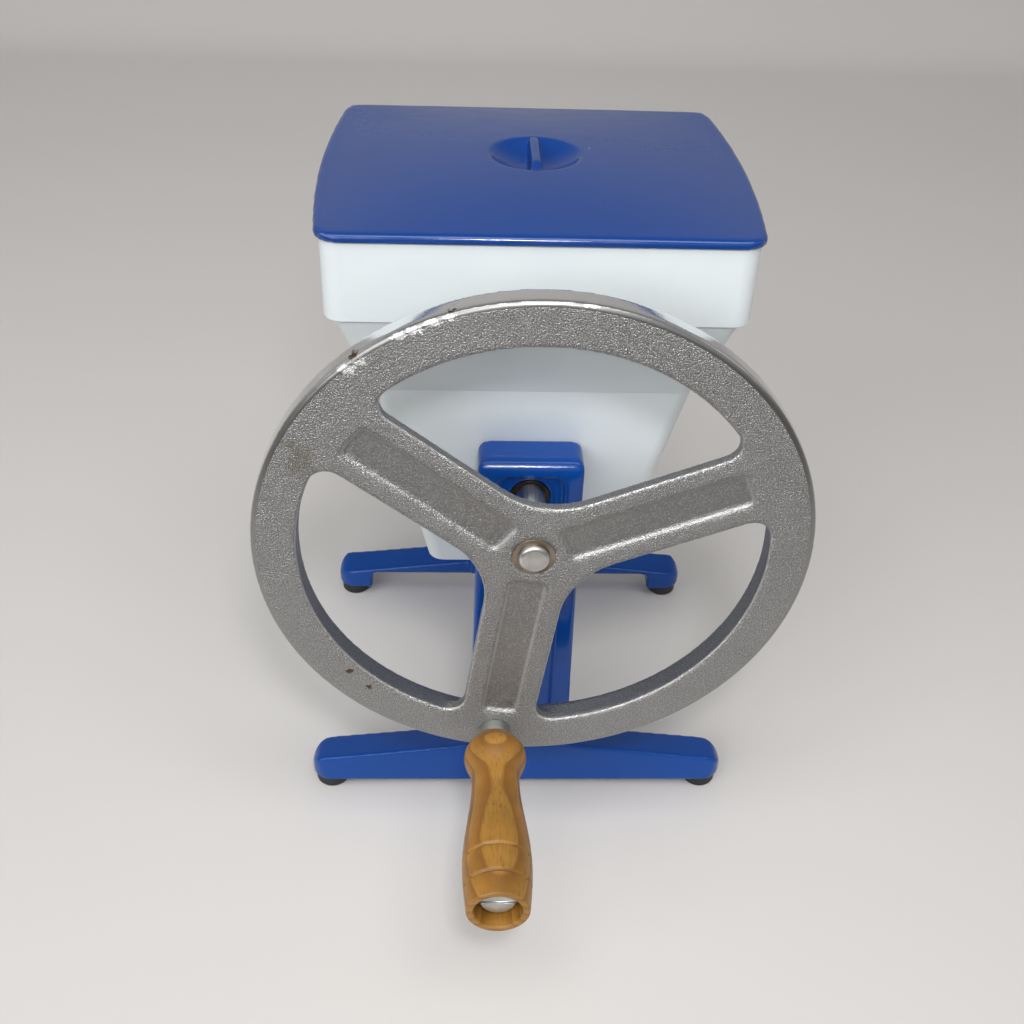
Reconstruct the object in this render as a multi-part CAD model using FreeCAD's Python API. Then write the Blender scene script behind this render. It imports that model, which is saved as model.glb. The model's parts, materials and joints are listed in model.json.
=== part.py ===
import FreeCAD, Part
import math
import os

# Hand crank ice crusher. Millimetres, +Z up, X to the right as seen from the crank, Y away from the crank.
# The origin is the centre of the bounding box at table level.
# A distance called "out" is measured along Y from the plane midway between the two stands.

V = FreeCAD.Vector
X_AXIS = V(1, 0, 0)
Y_AXIS = V(0, 1, 0)
Z_AXIS = V(0, 0, 1)

# Stands, two equal castings that face each other
axis_height = 218.0
stand_gap = 142.8
post_depth = 23.0
post_top_width = 56.0
post_foot_width = 61.0
block_top_rise = 24.0
block_corner_radius = 6.0
block_crown_radius = 8.5
post_edge_radius = 2.5
panel_width = 35.6
panel_depth = 3.5
panel_top_rise = 15.0
panel_corner_radius = 7.0
pocket_width = 40.0
pocket_depth = 9.0
bar_reach = 10.5
bar_depth = 24.0
bar_end_crest = 26.0
bar_mid_crest = 36.5
bar_inner_drop = 3.5
bar_elbow_radius = 10.0
bar_skirt_lean = 4.5
bar_skirt_wall = 5.0
bar_arch_height = 22.5
bar_arch_end_gap = 1.0
foot_spread = 233.0
foot_boss_diameter = 24.0

# Rubber feet
foot_diameter = 20.6
foot_height = 8.0
foot_edge_chamfer = 1.2
foot_screw_diameter = 5.0
foot_screw_length = 14.0
foot_screw_end_gap = 1.0
foot_screw_head_diameter = 9.0
foot_screw_head_height = 2.6
foot_recess_depth = 3.6
foot_recess_diameter = 10.0

# Bearings and shaft
shaft_diameter = 16.0
bearing_diameter = 21.0
bearing_recess = 4.0
bearing_inner_recess = 1.0
running_clearance = 0.05
free_gap = 0.3
shaft_hex_flats = 18.0
shaft_proud = 3.0
shaft_edge_radius = 2.2
shaft_tail = 2.5
shaft_tail_chamfer = 1.0
ring_diameter = 21.0
ring_thickness = 1.2
ring_groove_depth = 0.8
ring_gap = 3.0

# Housing, a tapered box open above and below
housing_rise = 55.0
housing_drop = 66.0
housing_top_width = 167.0
housing_top_depth = 148.0
housing_foot_width = 111.2
housing_foot_depth = 124.8
housing_wall = 5.0
housing_corner_radius = 9.0
housing_pad_width = 48.0
housing_pad_rise = 18.0
housing_pad_drop = 62.0
housing_boss_diameter = 34.0
housing_pad_root = 24.0
housing_boss_face = 60.6
shaft_hole_clearance = 1.0

# Frame bolts, one above the other on each post
bolt_diameter = 8.0
bolt_head_flats = 13.0
bolt_head_height = 5.3
bolt_boss_diameter = 16.0
bolt_thread_engagement = 11.0
bolt_end_wall = 1.0
bolt_drop_upper = 30.0
bolt_drop_lower = 54.0

# Crushing rotor
blade_count = 6
blade_pitch = 19.0
blade_thickness = 5.0
blade_hub_radius = 19.0
blade_tip_radius = 43.0
blade_teeth = 4
blade_tooth_root = 17.0
blade_tooth_tip = 5.0
blade_tooth_sink = 4.0
blade_tooth_lead = 4.0
blade_tooth_slope = 1.0
blade_stagger = 15.0
spacer_diameter = 27.0
thrust_washer_thickness = 2.0
thrust_washer_diameter = 32.0
end_washer_diameter = 28.0

# Fixed breaker combs on the side walls
comb_plate_thickness = 4.0
comb_rise = 20.0
comb_drop = 34.0
comb_tooth_thickness = 5.0
comb_tooth_root = 34.0
comb_tooth_tip = 12.0
comb_tooth_edge_radius = 3.0
comb_tooth_dip = 3.0
comb_tip_radius = 17.5
comb_screw_diameter = 5.0
comb_screw_head_diameter = 9.5
comb_screw_head_height = 3.0
comb_screw_drop = 8.5
comb_screw_spread = 76.0
screw_head_chamfer = 1.0

# Funnel above the housing
funnel_top_rise = 102.0
shoulder_inset_side = 4.5
shoulder_inset_front = 1.5
funnel_side_bow = 5.0
funnel_corner_radius = 9.0
funnel_wall = 3.0
funnel_lip_depth = 9.0
funnel_lip_gap = 0.2
funnel_screw_diameter = 4.0
funnel_screw_head_diameter = 7.5
funnel_screw_head_height = 2.4
funnel_screw_spread = 90.0
neck_height = 10.0
neck_gap = 0.2

# Collar round the mouth of the hopper
collar_width = 216.6
collar_depth = 182.8
collar_side_bow = 6.0
collar_corner_radius = 10.0
collar_wall = 3.0
collar_rise = 142.7
collar_edge_chamfer = 0.8
collar_screw_diameter = 4.0
collar_screw_length = 5.4
collar_screw_head_diameter = 7.0
collar_screw_head_height = 1.8
collar_screw_head_chamfer = 0.8
collar_screw_spread = 150.0

# Lid
lid_width = 221.4
lid_depth = 186.0
lid_side_bow = 6.2
lid_corner_radius = 12.0
lid_thickness = 4.5
lid_edge_chamfer = 1.6
lid_rim_depth = 9.0
lid_rim_wall = 2.5
lid_rim_play = 1.0
dish_diameter = 48.5
dish_depth = 10.0
dish_wall = 3.0
lid_crown = 6.5
lid_wall = 3.0
lid_rim_inset = 5.0
fin_thickness = 5.3
fin_proud = 2.0
fin_length = 46.0
fin_end_radius = 7.0
fin_crest_chamfer = 1.2
dish_floor_diameter = 34.0

# Flywheel
wheel_diameter = 280.0
wheel_gap = 33.0
rim_width = 22.7
rim_thickness = 14.0
rim_chamfer_radial = 1.8
rim_chamfer_axial = 1.6
rim_back_chamfer = 1.0
spoke_count = 3
spoke_angle = 262.3
spoke_width = 40.0
spoke_thickness = 7.0
spoke_pocket_width = 19.0
spoke_pocket_depth = 2.4
spoke_pocket_start = 17.0
spoke_pocket_end = 111.0
spoke_pocket_corner = 3.0
hub_fillet_radius = 42.0
rim_fillet_radius = 9.0
boss_diameter = 26.0
boss_length = 14.0
hub_washer_diameter = 21.8
hub_washer_thickness = 1.6
key_width = 5.0
key_height = 5.0
key_length = 16.0
key_setback = 1.0
set_screw_diameter = 6.0
set_screw_length = 6.0
set_screw_back = 8.5

# Handle
handle_inset = 14.0
handle_reach = 117.0
handle_spacer_diameter = 17.7
handle_spacer_length = 8.0
handle_spacer_chamfer = 0.8
spindle_diameter = 10.0
spindle_head_diameter = 19.0
spindle_head_height = 4.0
spindle_head_chamfer = 1.2
spindle_slot_width = 2.0
spindle_slot_depth = 1.6
spindle_thread_end = 1.0
spindle_nut_flats = 17.0
spindle_nut_height = 6.0
grip_start_radius = 12.5
grip_bulb_radius = 17.4
grip_bulb_from_start = 10.5
grip_neck_radius = 13.4
grip_neck_from_start = 34.0
grip_swell_radius = 17.6
grip_swell_from_start = 88.0
grip_end_radius = 15.6
grip_counterbore_diameter = 24.0
grip_counterbore_depth = 10.0
grip_groove_depth = 1.5
grip_groove_width = 2.0
grip_groove_first = 72.0
grip_groove_pitch = 16.0

# How far a cutting tool reaches past the face that it opens, and how closely edges are picked by place
past = 1.0
tiny = 0.01

# Places worked out from the sizes above
half_gap = stand_gap / 2
post_face = half_gap + post_depth
bar_face = post_face + bar_reach
bar_inner = bar_face - bar_depth
foot_out = bar_face - foot_boss_diameter / 2
wheel_back = post_face + wheel_gap
wheel_face = wheel_back + rim_thickness
front_end = wheel_face + handle_reach
mid_y = (front_end - bar_face) / 2
funnel_bottom_rise = housing_rise
funnel_top_width = collar_width - 2 * shoulder_inset_side
funnel_top_depth = collar_depth - 2 * shoulder_inset_front
lid_top = axis_height + collar_rise + free_gap + lid_thickness
handle_radius = wheel_diameter / 2 - handle_inset
handle_angle = math.radians(spoke_angle)
handle_x = handle_radius * math.cos(handle_angle)
handle_z = axis_height + handle_radius * math.sin(handle_angle)

os.makedirs("parts", exist_ok=True)


def save(name, shape):
    """Write one named piece."""
    shape.exportStep("parts/" + name + ".step")


def front(out):
    """Y of a place that lies this far out on the crank's side."""
    return mid_y - out


def rod(diameter, start, length, direction):
    """Round bar from a start point along a direction."""
    return Part.makeCylinder(diameter / 2, length, start, direction)


def rod_y(diameter, y_low, y_high, x=0.0, z=axis_height):
    """Round bar along Y between two places."""
    return rod(diameter, V(x, y_low, z), y_high - y_low, Y_AXIS)


def block(x_low, x_high, y_low, y_high, z_low, z_high):
    """Rectangular block between two corners."""
    return Part.makeBox(x_high - x_low, y_high - y_low, z_high - z_low, V(x_low, y_low, z_low))


def to_rear(shape):
    """The same casting turned round to the rear stand's place."""
    turned = shape.copy()
    turned.rotate(V(0, mid_y, 0), Z_AXIS, 180)
    return turned


def hexagon_prism(flats, start, length, direction):
    """Hexagonal prism from a start point along a direction, with its flats up and down for Y."""
    corner_radius = flats / math.sqrt(3)
    side = X_AXIS if abs(direction.x) < tiny else Y_AXIS
    other = direction.cross(side)
    corners = []
    for step in range(7):
        turn = math.radians(60 * step)
        across = side * (corner_radius * math.cos(turn))
        corners.append(start + across + other * (corner_radius * math.sin(turn)))
    return Part.Face(Part.makePolygon(corners)).extrude(direction * length)


def bowed_outline(width, depth, bow, radius, z):
    """Closed outline with straight front and back, bowed sides and rounded corners.
    Width is taken over the crowns of the bowed sides."""
    half_width = width / 2
    half_depth = depth / 2
    if bow > 0:
        side_radius = (half_depth ** 2 + bow ** 2) / (2 * bow)
        centre_x = half_width - side_radius
        corner_x = centre_x + math.sqrt((side_radius - radius) ** 2 - (half_depth - radius) ** 2)
        pull = side_radius / (side_radius - radius)
        touch = V(centre_x + (corner_x - centre_x) * pull, (half_depth - radius) * pull, 0)
    else:
        corner_x = half_width - radius
        touch = V(half_width, half_depth - radius, 0)
    corner = V(corner_x, half_depth - radius, 0)
    toward = (touch - corner).normalize() + Y_AXIS
    middle = corner + toward.normalize() * radius

    def at(point, sign_x, sign_y):
        return V(sign_x * point.x, mid_y + sign_y * point.y, z)

    straight = V(corner_x, half_depth, 0)
    bulge = V(half_width, 0, 0)
    edges = [Part.LineSegment(at(straight, -1, -1), at(straight, 1, -1)).toShape()]
    edges.append(Part.Arc(at(straight, 1, -1), at(middle, 1, -1), at(touch, 1, -1)).toShape())
    edges.append(side_edge(at(touch, 1, -1), at(bulge, 1, 1), at(touch, 1, 1), bow))
    edges.append(Part.Arc(at(touch, 1, 1), at(middle, 1, 1), at(straight, 1, 1)).toShape())
    edges.append(Part.LineSegment(at(straight, 1, 1), at(straight, -1, 1)).toShape())
    edges.append(Part.Arc(at(straight, -1, 1), at(middle, -1, 1), at(touch, -1, 1)).toShape())
    edges.append(side_edge(at(touch, -1, 1), at(bulge, -1, 1), at(touch, -1, -1), bow))
    edges.append(Part.Arc(at(touch, -1, -1), at(middle, -1, -1), at(straight, -1, -1)).toShape())
    return Part.Wire(edges)


def side_edge(start, bulge, end, bow):
    """One side of the outline, an arc when it is bowed."""
    if bow > 0:
        return Part.Arc(start, bulge, end).toShape()
    return Part.LineSegment(start, end).toShape()


def bowed_prism(width, depth, bow, radius, z_low, z_high):
    """Upright solid with the bowed outline."""
    outline = bowed_outline(width, depth, bow, radius, z_low)
    return Part.Face(outline).extrude(V(0, 0, z_high - z_low))


def tapered(low_outline, high_outline):
    """Solid with straight walls between two outlines."""
    return Part.makeLoft([low_outline, high_outline], True, True)


def level_rectangle(width, depth, z):
    """Corner points of a level rectangle, centred between the stands."""
    corners = [(-1, -1), (-1, 1), (1, 1), (1, -1)]
    return [V(x * width / 2, mid_y + y * depth / 2, z) for x, y in corners]


def tapered_box(low, high, corner_radius):
    """Solid with four flat sloping walls between two level rectangles and rounded upright corners."""
    faces = [Part.Face(Part.makePolygon(ring + ring[:1])) for ring in (low, high)]
    for corner in range(4):
        after = (corner + 1) % 4
        wall = [low[corner], low[after], high[after], high[corner], low[corner]]
        faces.append(Part.Face(Part.makePolygon(wall)))
    body = Part.Solid(Part.Shell(faces))
    return body.makeFillet(corner_radius, [e for e in body.Edges if e.BoundBox.ZLength > tiny])


def between(low, high, share):
    """Value a given share of the way from low to high."""
    return low + (high - low) * share


def housing_share(rise):
    """How far up the housing a height above the axis lies, 0 at its foot and 1 at its top."""
    return (rise + housing_drop) / (housing_rise + housing_drop)


def housing_half_width(rise):
    return between(housing_foot_width, housing_top_width, housing_share(rise)) / 2


def housing_size(rise, inset):
    """Width and depth of the housing at a height above the axis, set in from the outer wall."""
    share = housing_share(rise)
    width = between(housing_foot_width, housing_top_width, share) - 2 * inset
    return width, between(housing_foot_depth, housing_top_depth, share) - 2 * inset


def housing_taper(rise_low, rise_high, inset):
    """Part of the housing's tapered form between two heights above the axis."""
    low = level_rectangle(*housing_size(rise_low, inset), axis_height + rise_low)
    high = level_rectangle(*housing_size(rise_high, inset), axis_height + rise_high)
    return tapered_box(low, high, housing_corner_radius - inset / 2)


def lip_outline(rise, inset):
    """Rounded outline inside the housing, for the funnel's lip and throat."""
    width, depth = housing_size(rise, inset)
    return bowed_outline(width, depth, 0, housing_corner_radius - inset / 2, axis_height + rise)


def funnel_outline(rise, inset):
    """Outline of the funnel at a height above the axis, set in from the outer wall."""
    share = (rise - funnel_bottom_rise) / (funnel_top_rise - funnel_bottom_rise)
    width = between(housing_top_width, funnel_top_width, share) - 2 * inset
    depth = between(housing_top_depth, funnel_top_depth, share) - 2 * inset
    bow = max(between(0, funnel_side_bow, share), 0)
    radius = between(housing_corner_radius, funnel_corner_radius, share) - inset / 2
    return bowed_outline(width, depth, bow, radius, axis_height + rise)


def wall_frame(side):
    """Unit vectors of a sloping side wall: outward normal, and the direction up the wall."""
    rise = housing_rise + housing_drop
    run = (housing_top_width - housing_foot_width) / 2
    length = math.hypot(rise, run)
    up = V(side * run / length, 0, rise / length)
    outward = V(side * rise / length, 0, -run / length)
    return outward, up


def post():
    """Front stand's upright: bearing block on top, recessed panel outside, pocket inside."""
    top_z = axis_height + block_top_rise
    low_z = (bar_arch_height + bar_mid_crest) / 2
    half_top = post_top_width / 2
    half_foot = post_foot_width / 2
    corners = [V(-half_foot, 0, low_z), V(half_foot, 0, low_z), V(half_top, 0, axis_height - block_top_rise)]
    corners += [V(half_top, 0, top_z), V(-half_top, 0, top_z), V(-half_top, 0, axis_height - block_top_rise)]
    placed = [V(c.x, front(post_face), c.z) for c in corners]
    body = Part.Face(Part.makePolygon(placed + [placed[0]])).extrude(V(0, post_depth, 0))
    shoulders = [e for e in body.Edges if is_along_y(e) and e.BoundBox.ZMin > top_z - tiny]
    body = body.makeFillet(block_corner_radius, shoulders)
    outer_edges = [e for e in body.Edges if e.BoundBox.YMax < front(post_face) + tiny]
    body = body.makeFillet(post_edge_radius, [e for e in outer_edges if e.BoundBox.ZMax > low_z + tiny])
    wide = half_foot + past
    profile = block(-wide, wide, front(post_face), front(half_gap) + past, low_z - past, top_z)
    crowns = [e for e in profile.Edges if e.BoundBox.XLength > tiny and e.BoundBox.ZMin > top_z - tiny]
    crowns = [e for e in crowns if e.BoundBox.YMax < front(post_face) + tiny]
    body = body.common(profile.makeFillet(block_crown_radius, crowns))
    body = body.cut(post_panel())
    return body.cut(post_pocket())


def is_along_y(edge):
    """Whether an edge is a straight line along Y."""
    box = edge.BoundBox
    return box.YLength > tiny and box.XLength < tiny and box.ZLength < tiny


def rounded_slab(width, z_low, z_high, y_low, y_high, radius):
    """Slab standing in the XZ plane with its four corners rounded."""
    slab = block(-width / 2, width / 2, y_low, y_high, z_low, z_high)
    return slab.makeFillet(radius, [e for e in slab.Edges if is_along_y(e)])


def post_panel():
    """Shallow recess down the outer face of the post."""
    low = bar_mid_crest + panel_corner_radius
    high = axis_height + panel_top_rise
    outer = front(post_face)
    return rounded_slab(panel_width, low, high, outer - past, outer + panel_depth, panel_corner_radius)


def post_pocket():
    """Deeper pocket in the inner face, below the seat of the housing."""
    low = bar_mid_crest + panel_corner_radius
    high = axis_height - housing_drop - 2 * panel_corner_radius
    inner = front(half_gap)
    return rounded_slab(pocket_width, low, high, inner - pocket_depth, inner + past, panel_corner_radius)


def bar_crest(y, drop):
    """Outline of the foot bar in a plane of constant Y: highest at the post, rounded over at both ends."""
    end = (foot_spread + foot_boss_diameter) / 2
    elbow_start = end - bar_elbow_radius
    rise_start = post_foot_width / 2
    low = bar_end_crest - drop
    high = bar_mid_crest - drop
    way = bar_elbow_radius * (1 - math.sqrt(0.5))

    def at(x, z):
        return V(x, y, z)

    edges = [Part.LineSegment(at(-end, 0), at(end, 0)).toShape()]
    edges.append(Part.LineSegment(at(end, 0), at(end, low - bar_elbow_radius)).toShape())
    right = [at(end, low - bar_elbow_radius), at(end - way, low - way), at(elbow_start, low)]
    edges.append(Part.Arc(*right).toShape())
    edges.append(Part.LineSegment(at(elbow_start, low), at(rise_start, high)).toShape())
    edges.append(Part.LineSegment(at(rise_start, high), at(-rise_start, high)).toShape())
    edges.append(Part.LineSegment(at(-rise_start, high), at(-elbow_start, low)).toShape())
    left = [at(-elbow_start, low), at(way - end, low - way), at(-end, low - bar_elbow_radius)]
    edges.append(Part.Arc(*left).toShape())
    edges.append(Part.LineSegment(at(-end, low - bar_elbow_radius), at(-end, 0)).toShape())
    return Part.Wire(edges)


def foot_bar():
    """Front stand's foot bar: sloping top, leaning outer skirt, arched and open towards the inside."""
    reach = foot_spread / 2
    outer = front(bar_face)
    inner = front(bar_inner)
    plan = block(-reach, reach, outer, inner, foot_height, 2 * bar_mid_crest)
    for side in (-1, 1):
        boss_start = V(side * reach, front(foot_out), foot_height)
        plan = plan.fuse(rod(foot_boss_diameter, boss_start, 2 * bar_mid_crest, Z_AXIS))
    crest = Part.makeLoft([bar_crest(outer, 0), bar_crest(inner, bar_inner_drop)], True, True)
    bar = plan.removeSplitter().common(crest)
    lean = [V(-reach * 2, outer, foot_height), V(-reach * 2, outer, 2 * bar_mid_crest)]
    lean.append(V(-reach * 2, outer + bar_skirt_lean * 2, 2 * bar_mid_crest))
    bar = bar.cut(Part.Face(Part.makePolygon(lean + [lean[0]])).extrude(X_AXIS * reach * 4))
    arch_reach = reach - foot_boss_diameter / 2 - bar_arch_end_gap
    arch_outer = outer + bar_skirt_wall + bar_skirt_lean / 2
    arch = block(-arch_reach, arch_reach, arch_outer, inner + past, 0, bar_arch_height)
    corners = [e for e in arch.Edges if is_along_y(e) and e.BoundBox.ZMin > tiny]
    return bar.cut(arch.makeFillet(bar_skirt_wall, corners))


def stand():
    """Front stand, one casting: foot bar, post and bearing block, with its bores."""
    reach = foot_spread / 2
    casting = foot_bar().fuse(post()).removeSplitter()
    casting = casting.cut(rod_y(bearing_diameter, front(post_face) - past, front(half_gap) + past))
    for drop in (bolt_drop_upper, bolt_drop_lower):
        z = axis_height - drop
        casting = casting.cut(rod_y(bolt_diameter, front(post_face), front(half_gap) + past, 0, z))
    for side in (-1, 1):
        start = V(side * reach, front(foot_out), foot_height - past)
        casting = casting.cut(rod(foot_screw_diameter, start, foot_screw_length - foot_recess_depth, Z_AXIS))
    return casting


def foot(side, place_y):
    """Rubber foot with a countersunk place for its screw."""
    x = side * foot_spread / 2
    pad = rod(foot_diameter, V(x, place_y, 0), foot_height, Z_AXIS)
    rims = [e for e in pad.Edges if e.BoundBox.ZMax < tiny]
    pad = pad.makeChamfer(foot_edge_chamfer, rims)
    pad = pad.cut(rod(foot_recess_diameter, V(x, place_y, -past), foot_recess_depth + past, Z_AXIS))
    return pad.cut(rod(foot_screw_diameter, V(x, place_y, 0), foot_height + past, Z_AXIS))


def foot_screw(side, place_y):
    """Pan head screw that holds a rubber foot, head downwards inside the foot."""
    x = side * foot_spread / 2
    head_z = foot_recess_depth - foot_screw_head_height
    head = rod(foot_screw_head_diameter, V(x, place_y, head_z), foot_screw_head_height, Z_AXIS)
    shank_length = foot_screw_length - foot_recess_depth - foot_screw_end_gap
    return head.fuse(rod(foot_screw_diameter, V(x, place_y, foot_recess_depth), shank_length, Z_AXIS))


def bearing_bush():
    """Plain bush in the front bearing block, set back from the outer face."""
    y_low = front(post_face) + bearing_recess
    y_high = front(half_gap) - bearing_inner_recess
    bush = rod_y(bearing_diameter, y_low, y_high)
    return bush.cut(rod_y(shaft_diameter + 2 * running_clearance, y_low - past, y_high + past))


def frame_bolt(drop):
    """Hex head bolt from the post's panel into the housing's pad."""
    seat = front(post_face) + panel_depth
    z = axis_height - drop
    head = hexagon_prism(bolt_head_flats, V(0, seat - bolt_head_height, z), bolt_head_height, Y_AXIS)
    return head.fuse(rod_y(bolt_diameter, seat, front(half_gap) + bolt_thread_engagement, 0, z))


def housing():
    """Tapered housing with seats for the posts, bosses for the shaft and threads for the bolts."""
    outer = housing_taper(-housing_drop, housing_rise, 0)
    boss_length = half_gap - housing_boss_face
    for sign in (-1, 1):
        face = mid_y + sign * half_gap
        y_low = min(face, face - sign * housing_pad_root)
        pad = block(-housing_pad_width / 2, housing_pad_width / 2, y_low, y_low + housing_pad_root,
                    axis_height - housing_pad_drop, axis_height + housing_pad_rise)
        outer = outer.fuse(pad)
    shell = outer.cut(housing_taper(-housing_drop - past, housing_rise + past, housing_wall))
    bore = shaft_hex_flats * 2 / math.sqrt(3) + 2 * shaft_hole_clearance
    for sign in (-1, 1):
        face = mid_y + sign * half_gap
        y_low = min(face, face - sign * boss_length)
        shell = shell.fuse(rod_y(housing_boss_diameter, y_low, y_low + boss_length))
        shell = shell.cut(rod_y(bore, y_low - past, y_low + boss_length + past))
        for drop in (bolt_drop_upper, bolt_drop_lower):
            z = axis_height - drop
            boss_depth = bolt_thread_engagement + bolt_end_wall
            y_end = min(face, face - sign * boss_depth)
            shell = shell.fuse(rod_y(bolt_boss_diameter, y_end, y_end + boss_depth, 0, z))
            y_hole = min(face, face - sign * bolt_thread_engagement)
            shell = shell.cut(rod_y(bolt_diameter, y_hole, y_hole + bolt_thread_engagement, 0, z))
    for hole in side_wall_holes(comb_screw_diameter, comb_screw_places()):
        shell = shell.cut(hole)
    for hole in side_wall_holes(funnel_screw_diameter, funnel_screw_places()):
        shell = shell.cut(hole)
    return shell.removeSplitter()


def comb_screw_places():
    """Height above the axis and distance along Y of each comb screw on one side wall."""
    rise = -comb_screw_drop
    return [(rise, -comb_screw_spread / 2), (rise, comb_screw_spread / 2)]


def funnel_screw_places():
    """Height above the axis and distance along Y of each screw through the wall into the funnel's lip."""
    rise = housing_rise - funnel_lip_depth / 2
    return [(rise, -funnel_screw_spread / 2), (rise, funnel_screw_spread / 2)]


def wall_point(side, rise, along):
    """Point on the outer face of a sloping side wall."""
    return V(side * housing_half_width(rise), mid_y + along, axis_height + rise)


def side_wall_holes(diameter, places):
    """Holes square to the side walls."""
    holes = []
    for side in (-1, 1):
        outward, up = wall_frame(side)
        for rise, along in places:
            start = wall_point(side, rise, along) + outward
            holes.append(rod(diameter, start, housing_wall * 2, outward * -1))
    return holes


def wall_screw(side, rise, along, diameter, head_diameter, head_height, length):
    """Pan head screw square to a side wall, its head on the outer face."""
    outward, up = wall_frame(side)
    seat = wall_point(side, rise, along)
    head = rod(head_diameter, seat, head_height, outward)
    rims = [e for e in head.Edges if is_far_rim(e, seat, outward, head_height)]
    head = head.makeChamfer(screw_head_chamfer, rims)
    return head.fuse(rod(diameter, seat, length, outward * -1))


def is_far_rim(edge, seat, direction, distance):
    centre = edge.BoundBox.Center
    return abs((centre - seat).dot(direction) - distance) < tiny


def wall_normal_thickness():
    """Thickness of the side wall measured square to it."""
    outward, up = wall_frame(1)
    return housing_wall * abs(outward.x)


def comb(side):
    """Breaker comb: a plate on the side wall with teeth that reach in between the blades."""
    outward, up = wall_frame(side)
    inward = outward * -1
    seat_top = wall_point(side, comb_rise, 0) + inward * wall_normal_thickness()
    seat_low = wall_point(side, -comb_drop, 0) + inward * wall_normal_thickness()
    half_length = blade_pitch * (blade_count - 1) / 2
    shift = V(0, -half_length, 0)
    through = inward * comb_plate_thickness
    section = [seat_low, seat_top, seat_top + through, seat_low + through]
    ring = [p + shift for p in section]
    plate = Part.Face(Part.makePolygon(ring + [ring[0]])).extrude(V(0, 2 * half_length, 0))
    for index in range(blade_count - 1):
        along = (index - (blade_count - 2) / 2) * blade_pitch
        plate = plate.fuse(comb_tooth(side, along))
    for rise, along in comb_screw_places():
        start = wall_point(side, rise, along)
        plate = plate.cut(rod(comb_screw_diameter, start, housing_wall * 2 + comb_plate_thickness, inward))
    return plate.removeSplitter()


def comb_tooth(side, along):
    """One tooth, wide at the wall and narrow beside the shaft, with a rounded tip."""
    outward, up = wall_frame(side)
    base_rise = (comb_rise - comb_drop) / 2
    sunk = wall_normal_thickness() + comb_plate_thickness / 2
    base = wall_point(side, base_rise, along) - outward * sunk
    tip = V(side * comb_tip_radius, mid_y + along, axis_height - comb_tooth_dip)
    shift = V(0, -comb_tooth_thickness / 2, 0)
    corners = [base + up * (comb_tooth_root / 2), tip + Z_AXIS * (comb_tooth_tip / 2)]
    corners += [tip - Z_AXIS * (comb_tooth_tip / 2), base - up * (comb_tooth_root / 2)]
    placed = [p + shift for p in corners]
    tooth = Part.Face(Part.makePolygon(placed + [placed[0]])).extrude(V(0, comb_tooth_thickness, 0))
    tips = [e for e in tooth.Edges if is_along_y(e) and abs(e.BoundBox.Center.x) < comb_tip_radius + tiny]
    return tooth.makeFillet(comb_tooth_edge_radius, tips)


def neck_outline(inset, z):
    """Outline of the funnel's neck, which stands inside the collar, set in from its outer wall."""
    gap = 2 * (collar_wall + neck_gap + inset)
    radius = collar_corner_radius - collar_wall - neck_gap - inset / 2
    return bowed_outline(collar_width - gap, collar_depth - gap, collar_side_bow, radius, z)


def funnel():
    """Funnel: four sloping walls, a lip inside the housing and a neck inside the collar."""
    shoulder_z = axis_height + funnel_top_rise
    lip_inset = housing_wall + funnel_lip_gap
    throat_inset = lip_inset + funnel_wall
    lip_low = housing_rise - funnel_lip_depth
    body = tapered(funnel_outline(funnel_bottom_rise, 0), funnel_outline(funnel_top_rise, 0))
    lip = tapered(lip_outline(lip_low, lip_inset), lip_outline(housing_rise + past, lip_inset))
    neck = Part.Face(neck_outline(0, shoulder_z - past)).extrude(V(0, 0, neck_height + past))
    body = body.fuse(lip).fuse(neck)
    throat = tapered(lip_outline(lip_low - past, throat_inset), lip_outline(housing_rise, throat_inset))
    body = body.cut(throat)
    passage = tapered(funnel_outline(funnel_bottom_rise, throat_inset), neck_outline(funnel_wall, shoulder_z))
    body = body.cut(passage)
    body = body.cut(Part.Face(neck_outline(funnel_wall, shoulder_z)).extrude(V(0, 0, neck_height + past)))
    for hole in side_wall_holes(funnel_screw_diameter, funnel_screw_places()):
        body = body.cut(hole)
    for screw in collar_screws(0):
        body = body.cut(screw)
    return body.removeSplitter()


def collar_screws(head_height):
    """Screws from inside the neck into the collar's front and rear walls, with or without their heads."""
    seat = collar_depth / 2 - collar_wall - neck_gap - funnel_wall
    z = axis_height + funnel_top_rise + neck_height / 2
    screws = []
    for sign in (-1, 1):
        for side in (-1, 1):
            start = V(side * collar_screw_spread / 2, mid_y + sign * seat, z)
            screw = rod(collar_screw_diameter, start, collar_screw_length, Y_AXIS * sign)
            if head_height > 0:
                head = rod(collar_screw_head_diameter, start, head_height, Y_AXIS * -sign)
                rims = [e for e in head.Edges if is_far_rim(e, start, Y_AXIS * -sign, head_height)]
                screw = head.makeChamfer(collar_screw_head_chamfer, rims).fuse(screw)
            screws.append(screw)
    return screws


def collar():
    """Collar: a bowed rim that stands on the funnel's shoulder, round its neck."""
    z_low = axis_height + funnel_top_rise
    z_high = axis_height + collar_rise
    outer = bowed_prism(collar_width, collar_depth, collar_side_bow, collar_corner_radius, z_low, z_high)
    bottom = [e for e in outer.Edges if e.BoundBox.ZMax < z_low + tiny]
    outer = outer.makeChamfer(collar_edge_chamfer, bottom)
    inner = bowed_prism(collar_width - 2 * collar_wall, collar_depth - 2 * collar_wall, collar_side_bow,
                        collar_corner_radius - collar_wall, z_low - past, z_high + past)
    shell = outer.cut(inner)
    for screw in collar_screws(0):
        shell = shell.cut(screw)
    return shell


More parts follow.
